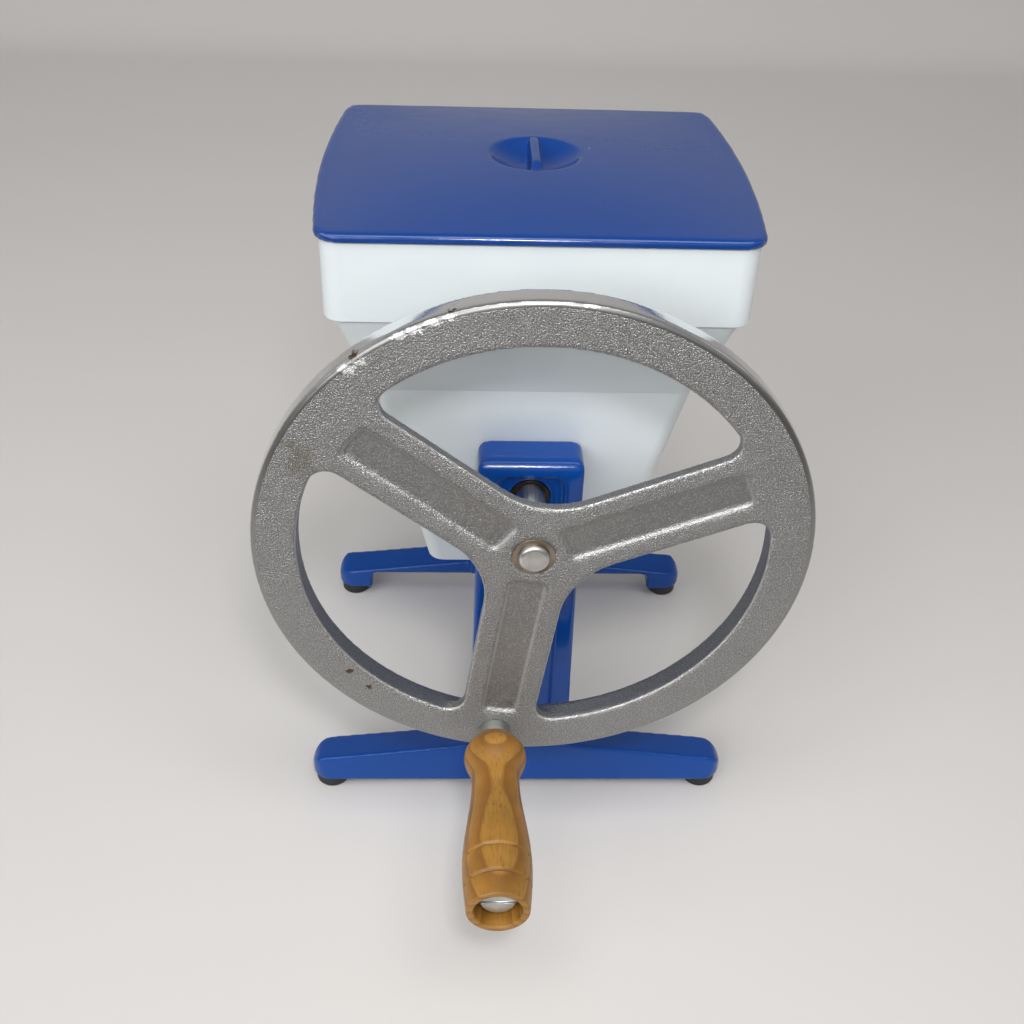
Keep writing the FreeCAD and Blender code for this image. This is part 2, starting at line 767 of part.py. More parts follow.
def crown(inset, z):
    """Solid under a gently crowned surface that rises from a level rectangle, set in from the lid's edges."""
    half_width = lid_width / 2 - lid_side_bow - inset
    half_depth = lid_depth / 2 - inset
    surface = Part.BezierSurface()
    surface.increase(2, 2)
    for row in range(3):
        for column in range(3):
            middle = row == 1 and column == 1
            pole_z = z + (4 * lid_crown if middle else 0)
            pole = V((row - 1) * half_width, mid_y + (column - 1) * half_depth, pole_z)
            surface.setPole(row + 1, column + 1, pole)
    slab = surface.toShape().extrude(V(0, 0, -2 * lid_crown))
    above = block(-lid_width, lid_width, mid_y - lid_depth, mid_y + lid_depth, z - past, z + 2 * lid_crown)
    return slab.common(above)


def bowl(radius, depth, z):
    """Solid under a level disc, shaped like a cap of a sphere that hangs down."""
    sphere_radius = (radius ** 2 + depth ** 2) / (2 * depth)
    half_turn = math.asin(radius / sphere_radius) / 2
    tip = V(0, mid_y, z - depth)
    way_z = z - depth + sphere_radius * (1 - math.cos(half_turn))
    way = V(sphere_radius * math.sin(half_turn), mid_y, way_z)
    rim = V(radius, mid_y, z)
    middle = V(0, mid_y, z)
    edges = [Part.Arc(tip, way, rim).toShape(), Part.LineSegment(rim, middle).toShape()]
    edges.append(Part.LineSegment(middle, tip).toShape())
    return Part.Face(Part.Wire(edges)).revolve(middle, Z_AXIS, 360)


def lid():
    """Lid: bowed and crowned plate, locating rim, and a round finger dish with a fin across it."""
    z_low = lid_top - lid_thickness
    plate = bowed_prism(lid_width, lid_depth, lid_side_bow, lid_corner_radius, z_low, lid_top)
    top = [e for e in plate.Edges if e.BoundBox.ZMin > lid_top - tiny]
    plate = plate.makeChamfer(lid_edge_chamfer, top).fuse(crown(lid_edge_chamfer, lid_top))
    inset = 2 * (collar_wall + lid_rim_play)
    width = collar_width - inset
    depth = collar_depth - inset
    corner = collar_corner_radius - inset / 2
    rim = bowed_prism(width, depth, collar_side_bow, corner, z_low - lid_rim_depth, z_low + past)
    wall = 2 * lid_rim_wall
    hollow = bowed_prism(width - wall, depth - wall, collar_side_bow, corner - lid_rim_wall,
                         z_low - lid_rim_depth - past, lid_top - lid_wall)
    hollow = hollow.fuse(crown(lid_edge_chamfer + lid_rim_inset, lid_top - lid_wall))
    body = plate.fuse(rim).cut(hollow)
    dish_rim = lid_top + lid_crown
    body = body.fuse(dish_underside(dish_rim - lid_wall))
    lift = past * 4 * dish_depth / dish_diameter
    body = body.cut(bowl(dish_diameter / 2 + past, dish_depth + lift, dish_rim + lift))
    return body.fuse(lid_fin(dish_rim)).removeSplitter()


def dish_underside(z_high):
    """Underside of the finger dish, a cone that hangs below the lid's ceiling."""
    height = dish_depth
    start = V(0, mid_y, z_high - height)
    return Part.makeCone(dish_floor_diameter / 2, dish_diameter / 2 + dish_wall, height, start, Z_AXIS)


def lid_fin(dish_rim):
    """Fin across the finger dish, from front to back, rounded at both ends."""
    z_low = dish_rim - dish_depth - dish_wall / 2
    z_high = lid_top + lid_crown + fin_proud
    half = fin_length / 2
    fin = block(-fin_thickness / 2, fin_thickness / 2, mid_y - half, mid_y + half, z_low, z_high)
    ends = [e for e in fin.Edges if e.BoundBox.XLength > tiny and e.BoundBox.ZMin > lid_top]
    fin = fin.makeFillet(fin_end_radius, ends)
    crests = [e for e in fin.Edges if e.BoundBox.XLength < tiny and e.BoundBox.ZMax > dish_rim]
    return fin.makeChamfer(fin_crest_chamfer, crests)


def shaft():
    """Crank shaft: rounded end, keyed seat, journals and a hexagon that carries the blades."""
    radius = shaft_diameter / 2
    y_tip = front(wheel_face) - shaft_proud
    y_round = y_tip + shaft_edge_radius
    groove_y = ring_place()
    y_tail = groove_y + ring_thickness + shaft_tail
    way = shaft_edge_radius * (1 - math.sqrt(0.5))
    ring = ring_bore() / 2
    groove_end = groove_y + ring_thickness
    points = [(y_round, radius), (groove_y, radius), (groove_y, ring), (groove_end, ring)]
    points += [(groove_end, radius), (y_tail - shaft_tail_chamfer, radius)]
    points += [(y_tail, radius - shaft_tail_chamfer), (y_tail, 0)]
    placed = [V(0, y, axis_height + r) for y, r in points]
    tip = V(0, y_tip, axis_height)
    rounding = [V(0, y_tip, axis_height + radius - shaft_edge_radius)]
    rounding += [V(0, y_tip + way, axis_height + radius - way), placed[0]]
    edges = [Part.LineSegment(tip, rounding[0]).toShape(), Part.Arc(*rounding).toShape()]
    for start, end in zip(placed, placed[1:]):
        edges.append(Part.LineSegment(start, end).toShape())
    edges.append(Part.LineSegment(placed[-1], tip).toShape())
    bar = Part.Face(Part.Wire(edges)).revolve(tip, Y_AXIS, 360)
    half = rotor_half_length()
    bar = bar.fuse(hexagon_prism(shaft_hex_flats, V(0, mid_y - half, axis_height), 2 * half, Y_AXIS))
    return bar.cut(key_block())


def ring_place():
    """Where the spring ring's groove starts, behind the washer in the rear post's panel."""
    return mid_y + post_face - panel_depth + free_gap + thrust_washer_thickness


def ring_bore():
    """Diameter at the bottom of the spring ring's groove."""
    return shaft_diameter - 2 * ring_groove_depth


def rotor_half_length():
    """Half of the length between the thrust washers' inner faces."""
    return housing_boss_face - free_gap - thrust_washer_thickness


def key_block():
    """The key, half in the shaft and half in the hub, on the side away from the handle."""
    y_low = front(wheel_face) + hub_washer_thickness + key_setback
    z_low = axis_height + shaft_diameter / 2 - key_height / 2
    return block(-key_width / 2, key_width / 2, y_low, y_low + key_length, z_low, z_low + key_height)


def blade(index):
    """Crushing blade: a hub disc with pointed teeth, on the shaft's hexagon."""
    along = (index - (blade_count - 1) / 2) * blade_pitch
    y_low = mid_y + along - blade_thickness / 2
    disc = rod_y(2 * blade_hub_radius, y_low, y_low + blade_thickness)
    for tooth_index in range(blade_teeth):
        turn = 360.0 * tooth_index / blade_teeth + blade_stagger * index
        disc = disc.fuse(blade_tooth(y_low, turn))
    bore = hexagon_prism(shaft_hex_flats, V(0, y_low - past, axis_height), blade_thickness + 2 * past, Y_AXIS)
    return disc.cut(bore).removeSplitter()


def blade_tooth(y_low, turn):
    """One tooth of a blade, hooked a little towards the way it turns."""
    inner = blade_hub_radius - blade_tooth_sink
    lead = blade_tooth_lead
    corners = [V(-blade_tooth_root / 2, y_low, inner), V(blade_tooth_root / 2, y_low, inner)]
    half_tip = blade_tooth_tip / 2
    corners.append(V(lead + half_tip, y_low, blade_tip_radius))
    corners.append(V(lead - half_tip, y_low, blade_tip_radius - blade_tooth_slope))
    placed = [V(c.x, c.y, c.z + axis_height) for c in corners]
    tooth = Part.Face(Part.makePolygon(placed + [placed[0]])).extrude(V(0, blade_thickness, 0))
    tooth.rotate(V(0, 0, axis_height), Y_AXIS, turn)
    return tooth


def spacer(y_low, y_high):
    """Spacer ring on the hexagon."""
    ring = rod_y(spacer_diameter, y_low, y_high)
    start = V(0, y_low - past, axis_height)
    return ring.cut(hexagon_prism(shaft_hex_flats, start, y_high - y_low + 2 * past, Y_AXIS))


def washer(outer_diameter, bore_diameter, y_low, thickness):
    """Flat washer on the shaft."""
    disc = rod_y(outer_diameter, y_low, y_low + thickness)
    return disc.cut(rod_y(bore_diameter, y_low - past, y_low + thickness + past))


def retaining_ring():
    """Open spring ring in the groove behind the rear bearing."""
    y_low = ring_place()
    ring = washer(ring_diameter, ring_bore(), y_low, ring_thickness)
    half = ring_gap / 2
    y_high = y_low + ring_thickness
    return ring.cut(block(-half, half, y_low - past, y_high + past, axis_height, axis_height + ring_diameter))


def wheel_rim():
    """Rim section turned round the axis: chamfered face edge, polished outer face."""
    outer = wheel_diameter / 2
    inner = outer - rim_width
    y_face = front(wheel_face)
    y_back = front(wheel_back)
    points = [(inner, y_face), (outer - rim_chamfer_radial, y_face), (outer, y_face + rim_chamfer_axial)]
    points += [(outer, y_back - rim_back_chamfer), (outer - rim_back_chamfer, y_back), (inner, y_back)]
    placed = [V(0, y, axis_height + r) for r, y in points]
    section = Part.Face(Part.makePolygon(placed + [placed[0]]))
    return section.revolve(V(0, 0, axis_height), Y_AXIS, 360)


def turned_block(index, inner, outer, width, y_low, y_high):
    """Block along one spoke between two radii."""
    bar = block(inner, outer, y_low, y_high, axis_height - width / 2, axis_height + width / 2)
    bar.rotate(V(0, 0, axis_height), Y_AXIS, -(spoke_angle + 360.0 * index / spoke_count))
    return bar


def wheel_windows():
    """The three windows between the spokes, with large radii at the hub and small ones at the rim."""
    reach = wheel_diameter / 2 - rim_width
    y_low = front(wheel_face) - past
    y_high = front(wheel_back) + past
    windows = rod_y(2 * reach, y_low, y_high)
    for index in range(spoke_count):
        windows = windows.cut(turned_block(index, 0, reach * 2, spoke_width, y_low - past, y_high + past))
    rounded = []
    for window in windows.Solids:
        near = [e for e in window.Edges if is_along_y(e) and distance_from_axis(e) < reach / 2]
        window = window.makeFillet(hub_fillet_radius, near)
        far = [e for e in window.Edges if is_along_y(e) and distance_from_axis(e) > reach - tiny]
        rounded.append(window.makeFillet(rim_fillet_radius, far))
    return rounded


def distance_from_axis(edge):
    centre = edge.BoundBox.Center
    return math.hypot(centre.x, centre.z - axis_height)


def spoke_pocket(index):
    """Shallow recess along the face of one spoke."""
    y_face = front(wheel_face)
    slot = turned_block(index, spoke_pocket_start, spoke_pocket_end, spoke_pocket_width, y_face - past,
                        y_face + spoke_pocket_depth)
    return slot.makeFillet(spoke_pocket_corner, [e for e in slot.Edges if is_along_y(e)])


def flywheel():
    """Flywheel: rim, three thinner spokes with recessed faces, hub boss, bore and tapped holes."""
    reach = wheel_diameter / 2 - rim_width
    y_face = front(wheel_face)
    y_back = front(wheel_back)
    web = rod_y(2 * reach + past, y_face, y_face + spoke_thickness)
    for window in wheel_windows():
        web = web.cut(window)
    wheel = wheel_rim().fuse(web)
    wheel = wheel.fuse(rod_y(boss_diameter, y_face + past, y_face + spoke_thickness + boss_length))
    for index in range(spoke_count):
        wheel = wheel.cut(spoke_pocket(index))
    wheel = wheel.cut(rod_y(shaft_diameter, y_face - past, y_face + spoke_thickness + boss_length + past))
    wheel = wheel.cut(rod_y(hub_washer_diameter, y_face - past, y_face + hub_washer_thickness))
    wheel = wheel.cut(key_block()).cut(set_screw_hole())
    wheel = wheel.cut(rod_y(spindle_diameter, y_face - past, y_back + past, handle_x, handle_z))
    return wheel.removeSplitter()


def set_screw_place():
    """Middle of the set screw's hole along the boss."""
    return front(wheel_face) + spoke_thickness + set_screw_back


def set_screw_hole():
    start = V(0, set_screw_place(), axis_height - boss_diameter)
    return rod(set_screw_diameter, start, boss_diameter - shaft_diameter / 2, Z_AXIS)


def set_screw():
    """Grub screw in the hub boss, pressing on the shaft from below."""
    start = V(0, set_screw_place(), axis_height - shaft_diameter / 2 - set_screw_length)
    screw = rod(set_screw_diameter, start, set_screw_length, Z_AXIS)
    socket = hexagon_prism(set_screw_diameter / 2, start - Z_AXIS * past, set_screw_length / 2 + past, Z_AXIS)
    return screw.cut(socket)


def grip_length():
    return handle_reach - handle_spacer_length - free_gap


def grip():
    """Turned wooden grip: bulb, neck, long swell, two grooves and a counterbored end."""
    y_start = front(wheel_face) - handle_spacer_length - free_gap
    length = grip_length()
    stations = [(0.0, grip_start_radius), (grip_bulb_from_start, grip_bulb_radius)]
    stations += [(grip_neck_from_start, grip_neck_radius), (grip_swell_from_start, grip_swell_radius)]
    stations.append((length, grip_end_radius))
    curve = Part.BSplineCurve()
    curve.interpolate([V(handle_x, y_start - s, handle_z + r) for s, r in stations])
    axis_start = V(handle_x, y_start, handle_z)
    axis_end = V(handle_x, y_start - length, handle_z)
    first = V(handle_x, y_start, handle_z + grip_start_radius)
    last = V(handle_x, y_start - length, handle_z + grip_end_radius)
    edges = [Part.LineSegment(axis_start, first).toShape(), curve.toShape()]
    edges += [Part.LineSegment(last, axis_end).toShape(), Part.LineSegment(axis_end, axis_start).toShape()]
    body = Part.Face(Part.Wire(edges)).revolve(axis_start, Y_AXIS, 360)
    for index in range(2):
        body = body.cut(grip_groove(y_start - grip_groove_first - index * grip_groove_pitch))
    bore = spindle_diameter + 4 * running_clearance
    body = body.cut(rod_y(bore, y_start - length - past, y_start + past, handle_x, handle_z))
    y_end = y_start - length
    y_floor = y_end + grip_counterbore_depth
    return body.cut(rod_y(grip_counterbore_diameter, y_end - past, y_floor, handle_x, handle_z))


def grip_groove(y):
    """Turned groove, a ring of triangular section that cuts into the swell."""
    inner = grip_swell_radius - grip_groove_depth
    outer = grip_swell_radius + grip_groove_depth
    section = [V(handle_x, y, handle_z + inner), V(handle_x, y - grip_groove_width, handle_z + outer)]
    section.append(V(handle_x, y + grip_groove_width, handle_z + outer))
    return Part.Face(Part.makePolygon(section + [section[0]])).revolve(V(handle_x, y, handle_z), Y_AXIS, 360)


def handle_spacer():
    """Plated collar between the wheel's face and the grip."""
    y_face = front(wheel_face)
    ring = rod_y(handle_spacer_diameter, y_face - handle_spacer_length, y_face, handle_x, handle_z)
    rims = [e for e in ring.Edges if e.BoundBox.YMax < y_face - handle_spacer_length + tiny]
    ring = ring.makeChamfer(handle_spacer_chamfer, rims)
    y_low = y_face - handle_spacer_length - past
    return ring.cut(rod_y(spindle_diameter, y_low, y_face + past, handle_x, handle_z))


def spindle():
    """Spindle through grip, spacer and rim, with its head sunk in the end of the grip."""
    y_seat = front(wheel_face) - handle_reach + grip_counterbore_depth - free_gap
    y_end = front(wheel_back) + spindle_nut_height + spindle_thread_end
    head = rod_y(spindle_head_diameter, y_seat - spindle_head_height, y_seat, handle_x, handle_z)
    rims = [e for e in head.Edges if e.BoundBox.YMax < y_seat - spindle_head_height + tiny]
    head = head.makeChamfer(spindle_head_chamfer, rims)
    slot_y = y_seat - spindle_head_height
    reach = spindle_head_diameter
    half = spindle_slot_width / 2
    slot = block(handle_x - reach, handle_x + reach, slot_y - past, slot_y + spindle_slot_depth,
                 handle_z - half, handle_z + half)
    return head.cut(slot).fuse(rod_y(spindle_diameter, y_seat, y_end, handle_x, handle_z))


def spindle_nut():
    """Lock nut on the back of the rim."""
    y_low = front(wheel_back)
    nut = hexagon_prism(spindle_nut_flats, V(handle_x, y_low, handle_z), spindle_nut_height, Y_AXIS)
    y_high = y_low + spindle_nut_height
    return nut.cut(rod_y(spindle_diameter, y_low - past, y_high + past, handle_x, handle_z))


def write_stands():
    casting = stand()
    save("front_stand", casting)
    save("rear_stand", to_rear(casting))
    bush = bearing_bush()
    save("front_bearing_bush", bush)
    save("rear_bearing_bush", to_rear(bush))
    screws = []
    for end_name, sign in (("front", -1), ("rear", 1)):
        y = mid_y + sign * foot_out
        for side_name, side in (("left", -1), ("right", 1)):
            save(end_name + "_" + side_name + "_foot", foot(side, y))
            screws.append(foot_screw(side, y))
    save("foot_screws", Part.makeCompound(screws))
    bolts = [frame_bolt(drop) for drop in (bolt_drop_upper, bolt_drop_lower)]
    save("frame_bolts", Part.makeCompound(bolts + [to_rear(b) for b in bolts]))


def write_housing():
    save("crusher_housing", housing())
    length = wall_normal_thickness() + comb_plate_thickness
    screws = []
    lip_screws = []
    for side_name, side in (("left", -1), ("right", 1)):
        save(side_name + "_breaker_comb", comb(side))
        for rise, along in comb_screw_places():
            screws.append(wall_screw(side, rise, along, comb_screw_diameter, comb_screw_head_diameter,
                                     comb_screw_head_height, length))
        for rise, along in funnel_screw_places():
            lip_screws.append(wall_screw(side, rise, along, funnel_screw_diameter, funnel_screw_head_diameter,
                                         funnel_screw_head_height, housing_wall + funnel_wall))
    save("comb_screws", Part.makeCompound(screws))
    save("funnel_screws", Part.makeCompound(lip_screws))


def write_hopper():
    save("hopper_funnel", funnel())
    save("hopper_collar", collar())
    save("collar_screws", Part.makeCompound(collar_screws(collar_screw_head_height)))
    save("hopper_lid", lid())


def write_rotor():
    save("crank_shaft", shaft())
    half = rotor_half_length()
    faces = [-half]
    for index in range(blade_count):
        along = (index - (blade_count - 1) / 2) * blade_pitch
        save("crushing_blade_" + str(index + 1), blade(index))
        faces += [along - blade_thickness / 2, along + blade_thickness / 2]
    faces.append(half)
    for index in range(blade_count + 1):
        ring = spacer(mid_y + faces[2 * index], mid_y + faces[2 * index + 1])
        save("blade_spacer_" + str(index + 1), ring)
    bore = shaft_diameter + 2 * running_clearance
    save("front_thrust_washer", washer(thrust_washer_diameter, bore, mid_y - half - thrust_washer_thickness,
                                       thrust_washer_thickness))
    save("rear_thrust_washer", washer(thrust_washer_diameter, bore, mid_y + half, thrust_washer_thickness))
    save("shaft_end_washer", washer(end_washer_diameter, bore, ring_place() - thrust_washer_thickness,
                                    thrust_washer_thickness))
    save("retaining_ring", retaining_ring())


def write_crank():
    save("flywheel", flywheel())
    save("hub_washer", washer(hub_washer_diameter, shaft_diameter, front(wheel_face), hub_washer_thickness))
    save("hub_key", key_block())
    save("hub_set_screw", set_screw())
    save("handle_grip", grip())
    save("handle_spacer", handle_spacer())
    save("handle_spindle", spindle())
    save("handle_lock_nut", spindle_nut())


write_stands()
write_housing()
write_hopper()
write_rotor()
write_crank()
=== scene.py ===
# A hand crank ice crusher: a white hopper and rotor housing held between two blue cast stands,
# with a plated handwheel in front and a blue lid on top.

import json
import math
import bpy
import bmesh
from mathutils import Matrix, Vector

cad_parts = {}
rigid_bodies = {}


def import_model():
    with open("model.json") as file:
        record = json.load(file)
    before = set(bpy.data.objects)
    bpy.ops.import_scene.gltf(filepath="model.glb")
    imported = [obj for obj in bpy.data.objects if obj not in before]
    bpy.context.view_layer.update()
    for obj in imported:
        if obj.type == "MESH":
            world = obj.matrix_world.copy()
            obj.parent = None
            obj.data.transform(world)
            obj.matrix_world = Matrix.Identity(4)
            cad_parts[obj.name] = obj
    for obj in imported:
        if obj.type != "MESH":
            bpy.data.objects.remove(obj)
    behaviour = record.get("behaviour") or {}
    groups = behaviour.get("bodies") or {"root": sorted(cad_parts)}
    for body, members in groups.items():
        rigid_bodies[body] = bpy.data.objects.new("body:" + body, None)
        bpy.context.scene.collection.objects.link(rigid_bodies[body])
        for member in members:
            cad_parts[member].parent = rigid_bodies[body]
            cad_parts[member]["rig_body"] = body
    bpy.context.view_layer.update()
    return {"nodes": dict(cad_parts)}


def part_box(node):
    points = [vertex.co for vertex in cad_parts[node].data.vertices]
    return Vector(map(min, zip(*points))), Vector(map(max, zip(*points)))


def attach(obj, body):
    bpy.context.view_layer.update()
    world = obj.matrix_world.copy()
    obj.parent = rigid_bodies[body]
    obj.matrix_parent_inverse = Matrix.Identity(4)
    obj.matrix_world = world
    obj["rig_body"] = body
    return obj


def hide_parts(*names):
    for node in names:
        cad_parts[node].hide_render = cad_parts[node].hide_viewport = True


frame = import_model()


# Camera
# The photograph looks down over the handle from in front of the wheel, slightly turned and tilted.
# Its place was fitted to the wheel's rim, the lid's corners and the four feet.
camera_data = bpy.data.cameras.new("camera")
camera_data.sensor_width = 36.0
camera_data.lens = 41.18
camera = bpy.data.objects.new("camera", camera_data)
bpy.context.scene.collection.objects.link(camera)
bpy.context.scene.camera = camera
camera_yaw = math.radians(2.862)
camera_pitch = math.radians(36.719)
camera_roll = math.radians(2.217)
camera_place = (-0.03448, -0.51701, 0.58389)
camera.matrix_world = (
    Matrix.Translation(camera_place)
    @ Matrix.Rotation(-camera_yaw, 4, "Z")
    @ Matrix.Rotation(math.pi / 2 - camera_pitch, 4, "X")
    @ Matrix.Rotation(camera_roll, 4, "Z")
)


# Table and wall
# A white laminate table top with a pale grey wall behind it. Both are plain: one sheet runs level
# under the crusher, turns up through a wide arc and ends as the wall.
def add_node(tree, kind, sockets=(), **settings):
    """A shader node; sockets maps its inputs to values or to other nodes' outputs."""
    made = tree.nodes.new("ShaderNode" + kind)
    for key, value in settings.items():
        setattr(made, key, value)
    for key, value in dict(sockets).items():
        if isinstance(value, bpy.types.NodeSocket):
            tree.links.new(value, made.inputs[key])
        else:
            made.inputs[key].default_value = value
    return made


def start_material(name, **constants):
    """A material with its shader node, whose constants are set by socket name."""
    material = bpy.data.materials.new(name)
    material.use_nodes = True
    shader = material.node_tree.nodes["Principled BSDF"]
    for key, value in constants.items():
        shader.inputs[key.replace("_", " ")].default_value = value
    return material, material.node_tree, shader


def add_object(name, mesh_or_bmesh):
    """A scene object of that name; a bmesh is written to a new mesh and freed."""
    mesh = mesh_or_bmesh
    if isinstance(mesh, bmesh.types.BMesh):
        mesh = bpy.data.meshes.new(name)
        mesh_or_bmesh.to_mesh(mesh)
        mesh_or_bmesh.free()
    made = bpy.data.objects.new(name, mesh)
    bpy.context.scene.collection.objects.link(made)
    return made


table_front = -0.42
wall_y = 1.75
sweep_radius = 0.22
sheet_half_width = 4.0
wall_height = 3.0
sweep_steps = 24
bm = bmesh.new()
front_edge = [bm.verts.new((x, table_front, 0)) for x in (-sheet_half_width, sheet_half_width)]
edge = bm.edges.new(front_edge)
front_run = bmesh.ops.extrude_edge_only(bm, edges=[edge])["geom"]
bmesh.ops.translate(
    bm,
    verts=[v for v in front_run if isinstance(v, bmesh.types.BMVert)],
    vec=(0, wall_y - sweep_radius - table_front, 0),
)
bend = bmesh.ops.spin(
    bm,
    geom=[v for v in front_run if not isinstance(v, bmesh.types.BMFace)],
    cent=(0, wall_y - sweep_radius, sweep_radius),
    axis=(1, 0, 0),
    angle=math.pi / 2,
    steps=sweep_steps,
)["geom_last"]
top_run = bmesh.ops.extrude_edge_only(
    bm, edges=[e for e in bend if isinstance(e, bmesh.types.BMEdge)]
)["geom"]
bmesh.ops.translate(
    bm, verts=[v for v in top_run if isinstance(v, bmesh.types.BMVert)], vec=(0, 0, wall_height)
)
bmesh.ops.recalc_face_normals(bm, faces=bm.faces)
for face in bm.faces:
    face.smooth = True
table = add_object("table", bm)

material, tree, shader = start_material("table_laminate", Roughness=0.42)
place = add_node(tree, "TexCoord").outputs["Object"]
cloud = add_node(tree, "TexNoise", {"Vector": place, "Scale": 1.3, "Detail": 3.0})
tint = add_node(tree, "ValToRGB", {"Fac": cloud.outputs["Fac"]})
tint.color_ramp.elements[0].color = (0.710, 0.690, 0.670, 1)
tint.color_ramp.elements[1].color = (0.745, 0.726, 0.708, 1)
wall_grey = (0.52, 0.51, 0.495, 1)
height = add_node(tree, "SeparateXYZ", {"Vector": place}).outputs["Z"]
is_wall = add_node(
    tree, "MapRange", {"Value": height, "From Min": 0.0, "From Max": sweep_radius}
).outputs["Result"]
shade = add_node(
    tree, "Mix", {0: is_wall, 6: tint.outputs["Color"], 7: wall_grey}, data_type="RGBA"
)
tree.links.new(shade.outputs[2], shader.inputs["Base Color"])
table.data.materials.append(material)


# Lights
# A broad soft ceiling light, a window-like panel at the upper left and a small lamp above the
# camera, which makes the bright spots on the shaft's end, the finger fin and the bearing block.
def add_panel(name, place, target, width, depth, power, color):
    """A soft rectangular light at place that faces target."""
    light = bpy.data.lights.new(name, "AREA")
    light.shape = "RECTANGLE"
    light.size = width
    light.size_y = depth
    light.energy = power
    light.color = color
    lamp = bpy.data.objects.new(name, light)
    bpy.context.scene.collection.objects.link(lamp)
    lamp.location = place
    lamp.rotation_mode = "QUATERNION"
    lamp.rotation_quaternion = (Vector(target) - Vector(place)).to_track_quat("-Z", "Y")


add_panel("ceiling_light", (0.0, -0.8, 2.4), (0, 0.5, 0.1), 2.6, 0.9, 27.0, (1.0, 0.985, 0.965))
add_panel("window_light", (-1.2, -1.7, 1.3), (0, 0, 0.2), 1.8, 1.5, 24.0, (0.98, 0.99, 1.0))
add_panel("camera_light", (0.02, -0.62, 0.86), (0, 0, 0.2), 0.10, 0.10, 2.6, (1.0, 1.0, 1.0))

# The room that the metal mirrors: brightest about a third of the way up, dim below and overhead.
# The camera sees a plain pale backdrop instead.
room = bpy.data.worlds.new("room")
bpy.context.scene.world = room
room.use_nodes = True
room_tree = room.node_tree
direction = add_node(room_tree, "TexCoord").outputs["Generated"]
upward = add_node(room_tree, "SeparateXYZ", {"Vector": direction}).outputs["Z"]
tones = add_node(room_tree, "ValToRGB", {"Fac": upward})
tones.color_ramp.elements[0].position = 0.02
tones.color_ramp.elements[0].color = (0.16, 0.155, 0.15, 1)
tones.color_ramp.elements[1].position = 0.74
tones.color_ramp.elements[1].color = (0.22, 0.22, 0.225, 1)
bright_band = tones.color_ramp.elements.new(0.45)
bright_band.color = (1.0, 1.0, 0.99, 1)
mirrored = room_tree.nodes["Background"]
room_tree.links.new(tones.outputs["Color"], mirrored.inputs["Color"])
mirrored.inputs["Strength"].default_value = 0.7
backdrop = add_node(room_tree, "Background", {"Color": (0.60, 0.59, 0.575, 1), "Strength": 1.0})
seen = add_node(room_tree, "LightPath").outputs["Is Camera Ray"]
shown = add_node(
    room_tree, "MixShader",
    {0: seen, 1: mirrored.outputs[0], 2: backdrop.outputs[0]},
)
room_tree.links.new(shown.outputs[0], room_tree.nodes["World Output"].inputs["Surface"])
bpy.context.scene.view_settings.view_transform = "Standard"


# Stands
# Each stand is one iron casting: a foot bar, a post and a bearing block. It is coated in glossy
# blue enamel, which softens every edge and shows the faint dimples of the sprayed film.
def new_group(name, inputs, outputs):
    """An empty shader node group with named sockets, and its two end nodes."""
    group = bpy.data.node_groups.new(name, "ShaderNodeTree")
    for label, kind, value in inputs:
        socket = group.interface.new_socket(
            label, in_out="INPUT", socket_type="NodeSocket" + kind
        )
        if value is not None:
            socket.default_value = value
    for label, kind in outputs:
        group.interface.new_socket(label, in_out="OUTPUT", socket_type="NodeSocket" + kind)
    return group, group.nodes.new("NodeGroupInput"), group.nodes.new("NodeGroupOutput")


def use_group(tree, group, sockets=()):
    """The node of a group in a material, with its inputs set."""
    made = tree.nodes.new("ShaderNodeGroup")
    made.node_tree = group
    for key, value in dict(sockets).items():
        if isinstance(value, bpy.types.NodeSocket):
            tree.links.new(value, made.inputs[key])
        else:
            made.inputs[key].default_value = value
    return made


def make_film_group():
    """Sprayed or moulded film: soft tone clouds, dust specks and a dimpled surface."""
    group, start, end = new_group(
        "film_surface",
        [
            ("Vector", "Vector", None),
            ("Speck Scale", "Float", 420.0),
            ("Speck Amount", "Float", 0.04),
            ("Dimple Scale", "Float", 260.0),
        ],
        [("Cloud", "Float"), ("Specks", "Float"), ("Dimples", "Float"), ("Smudge", "Float")],
    )
    place = start.outputs["Vector"]
    cloud = add_node(group, "TexNoise", {"Vector": place, "Scale": 14.0, "Detail": 4.0})
    group.links.new(cloud.outputs["Fac"], end.inputs["Cloud"])
    cells = add_node(
        group, "TexVoronoi", {"Vector": place, "Scale": start.outputs["Speck Scale"]}
    )
    chosen = add_node(
        group, "Math", {0: cells.outputs["Color"], 1: start.outputs["Speck Amount"]},
        operation="LESS_THAN",
    )
    near = add_node(group, "Math", {0: cells.outputs["Distance"], 1: 0.22}, operation="LESS_THAN")
    speck = add_node(
        group, "Math", {0: chosen.outputs[0], 1: near.outputs[0]}, operation="MULTIPLY"
    )
    group.links.new(speck.outputs[0], end.inputs["Specks"])
    dimple = add_node(
        group, "TexNoise",
        {"Vector": place, "Scale": start.outputs["Dimple Scale"], "Detail": 2.0},
    )
    group.links.new(dimple.outputs["Fac"], end.inputs["Dimples"])
    smudge = add_node(group, "TexNoise", {"Vector": place, "Scale": 34.0, "Detail": 3.0})
    contrast = add_node(
        group, "MapRange", {"Value": smudge.outputs["Fac"], "From Min": 0.35, "From Max": 0.80}
    )
    group.links.new(contrast.outputs["Result"], end.inputs["Smudge"])
    return group


def add_bump(tree, shader, height, strength, distance):
    """Bump on the shader from a height, with its depth in metres."""
    bump = add_node(
        tree, "Bump", {"Height": height, "Strength": strength, "Distance": distance}
    )
    tree.links.new(bump.outputs["Normal"], shader.inputs["Normal"])


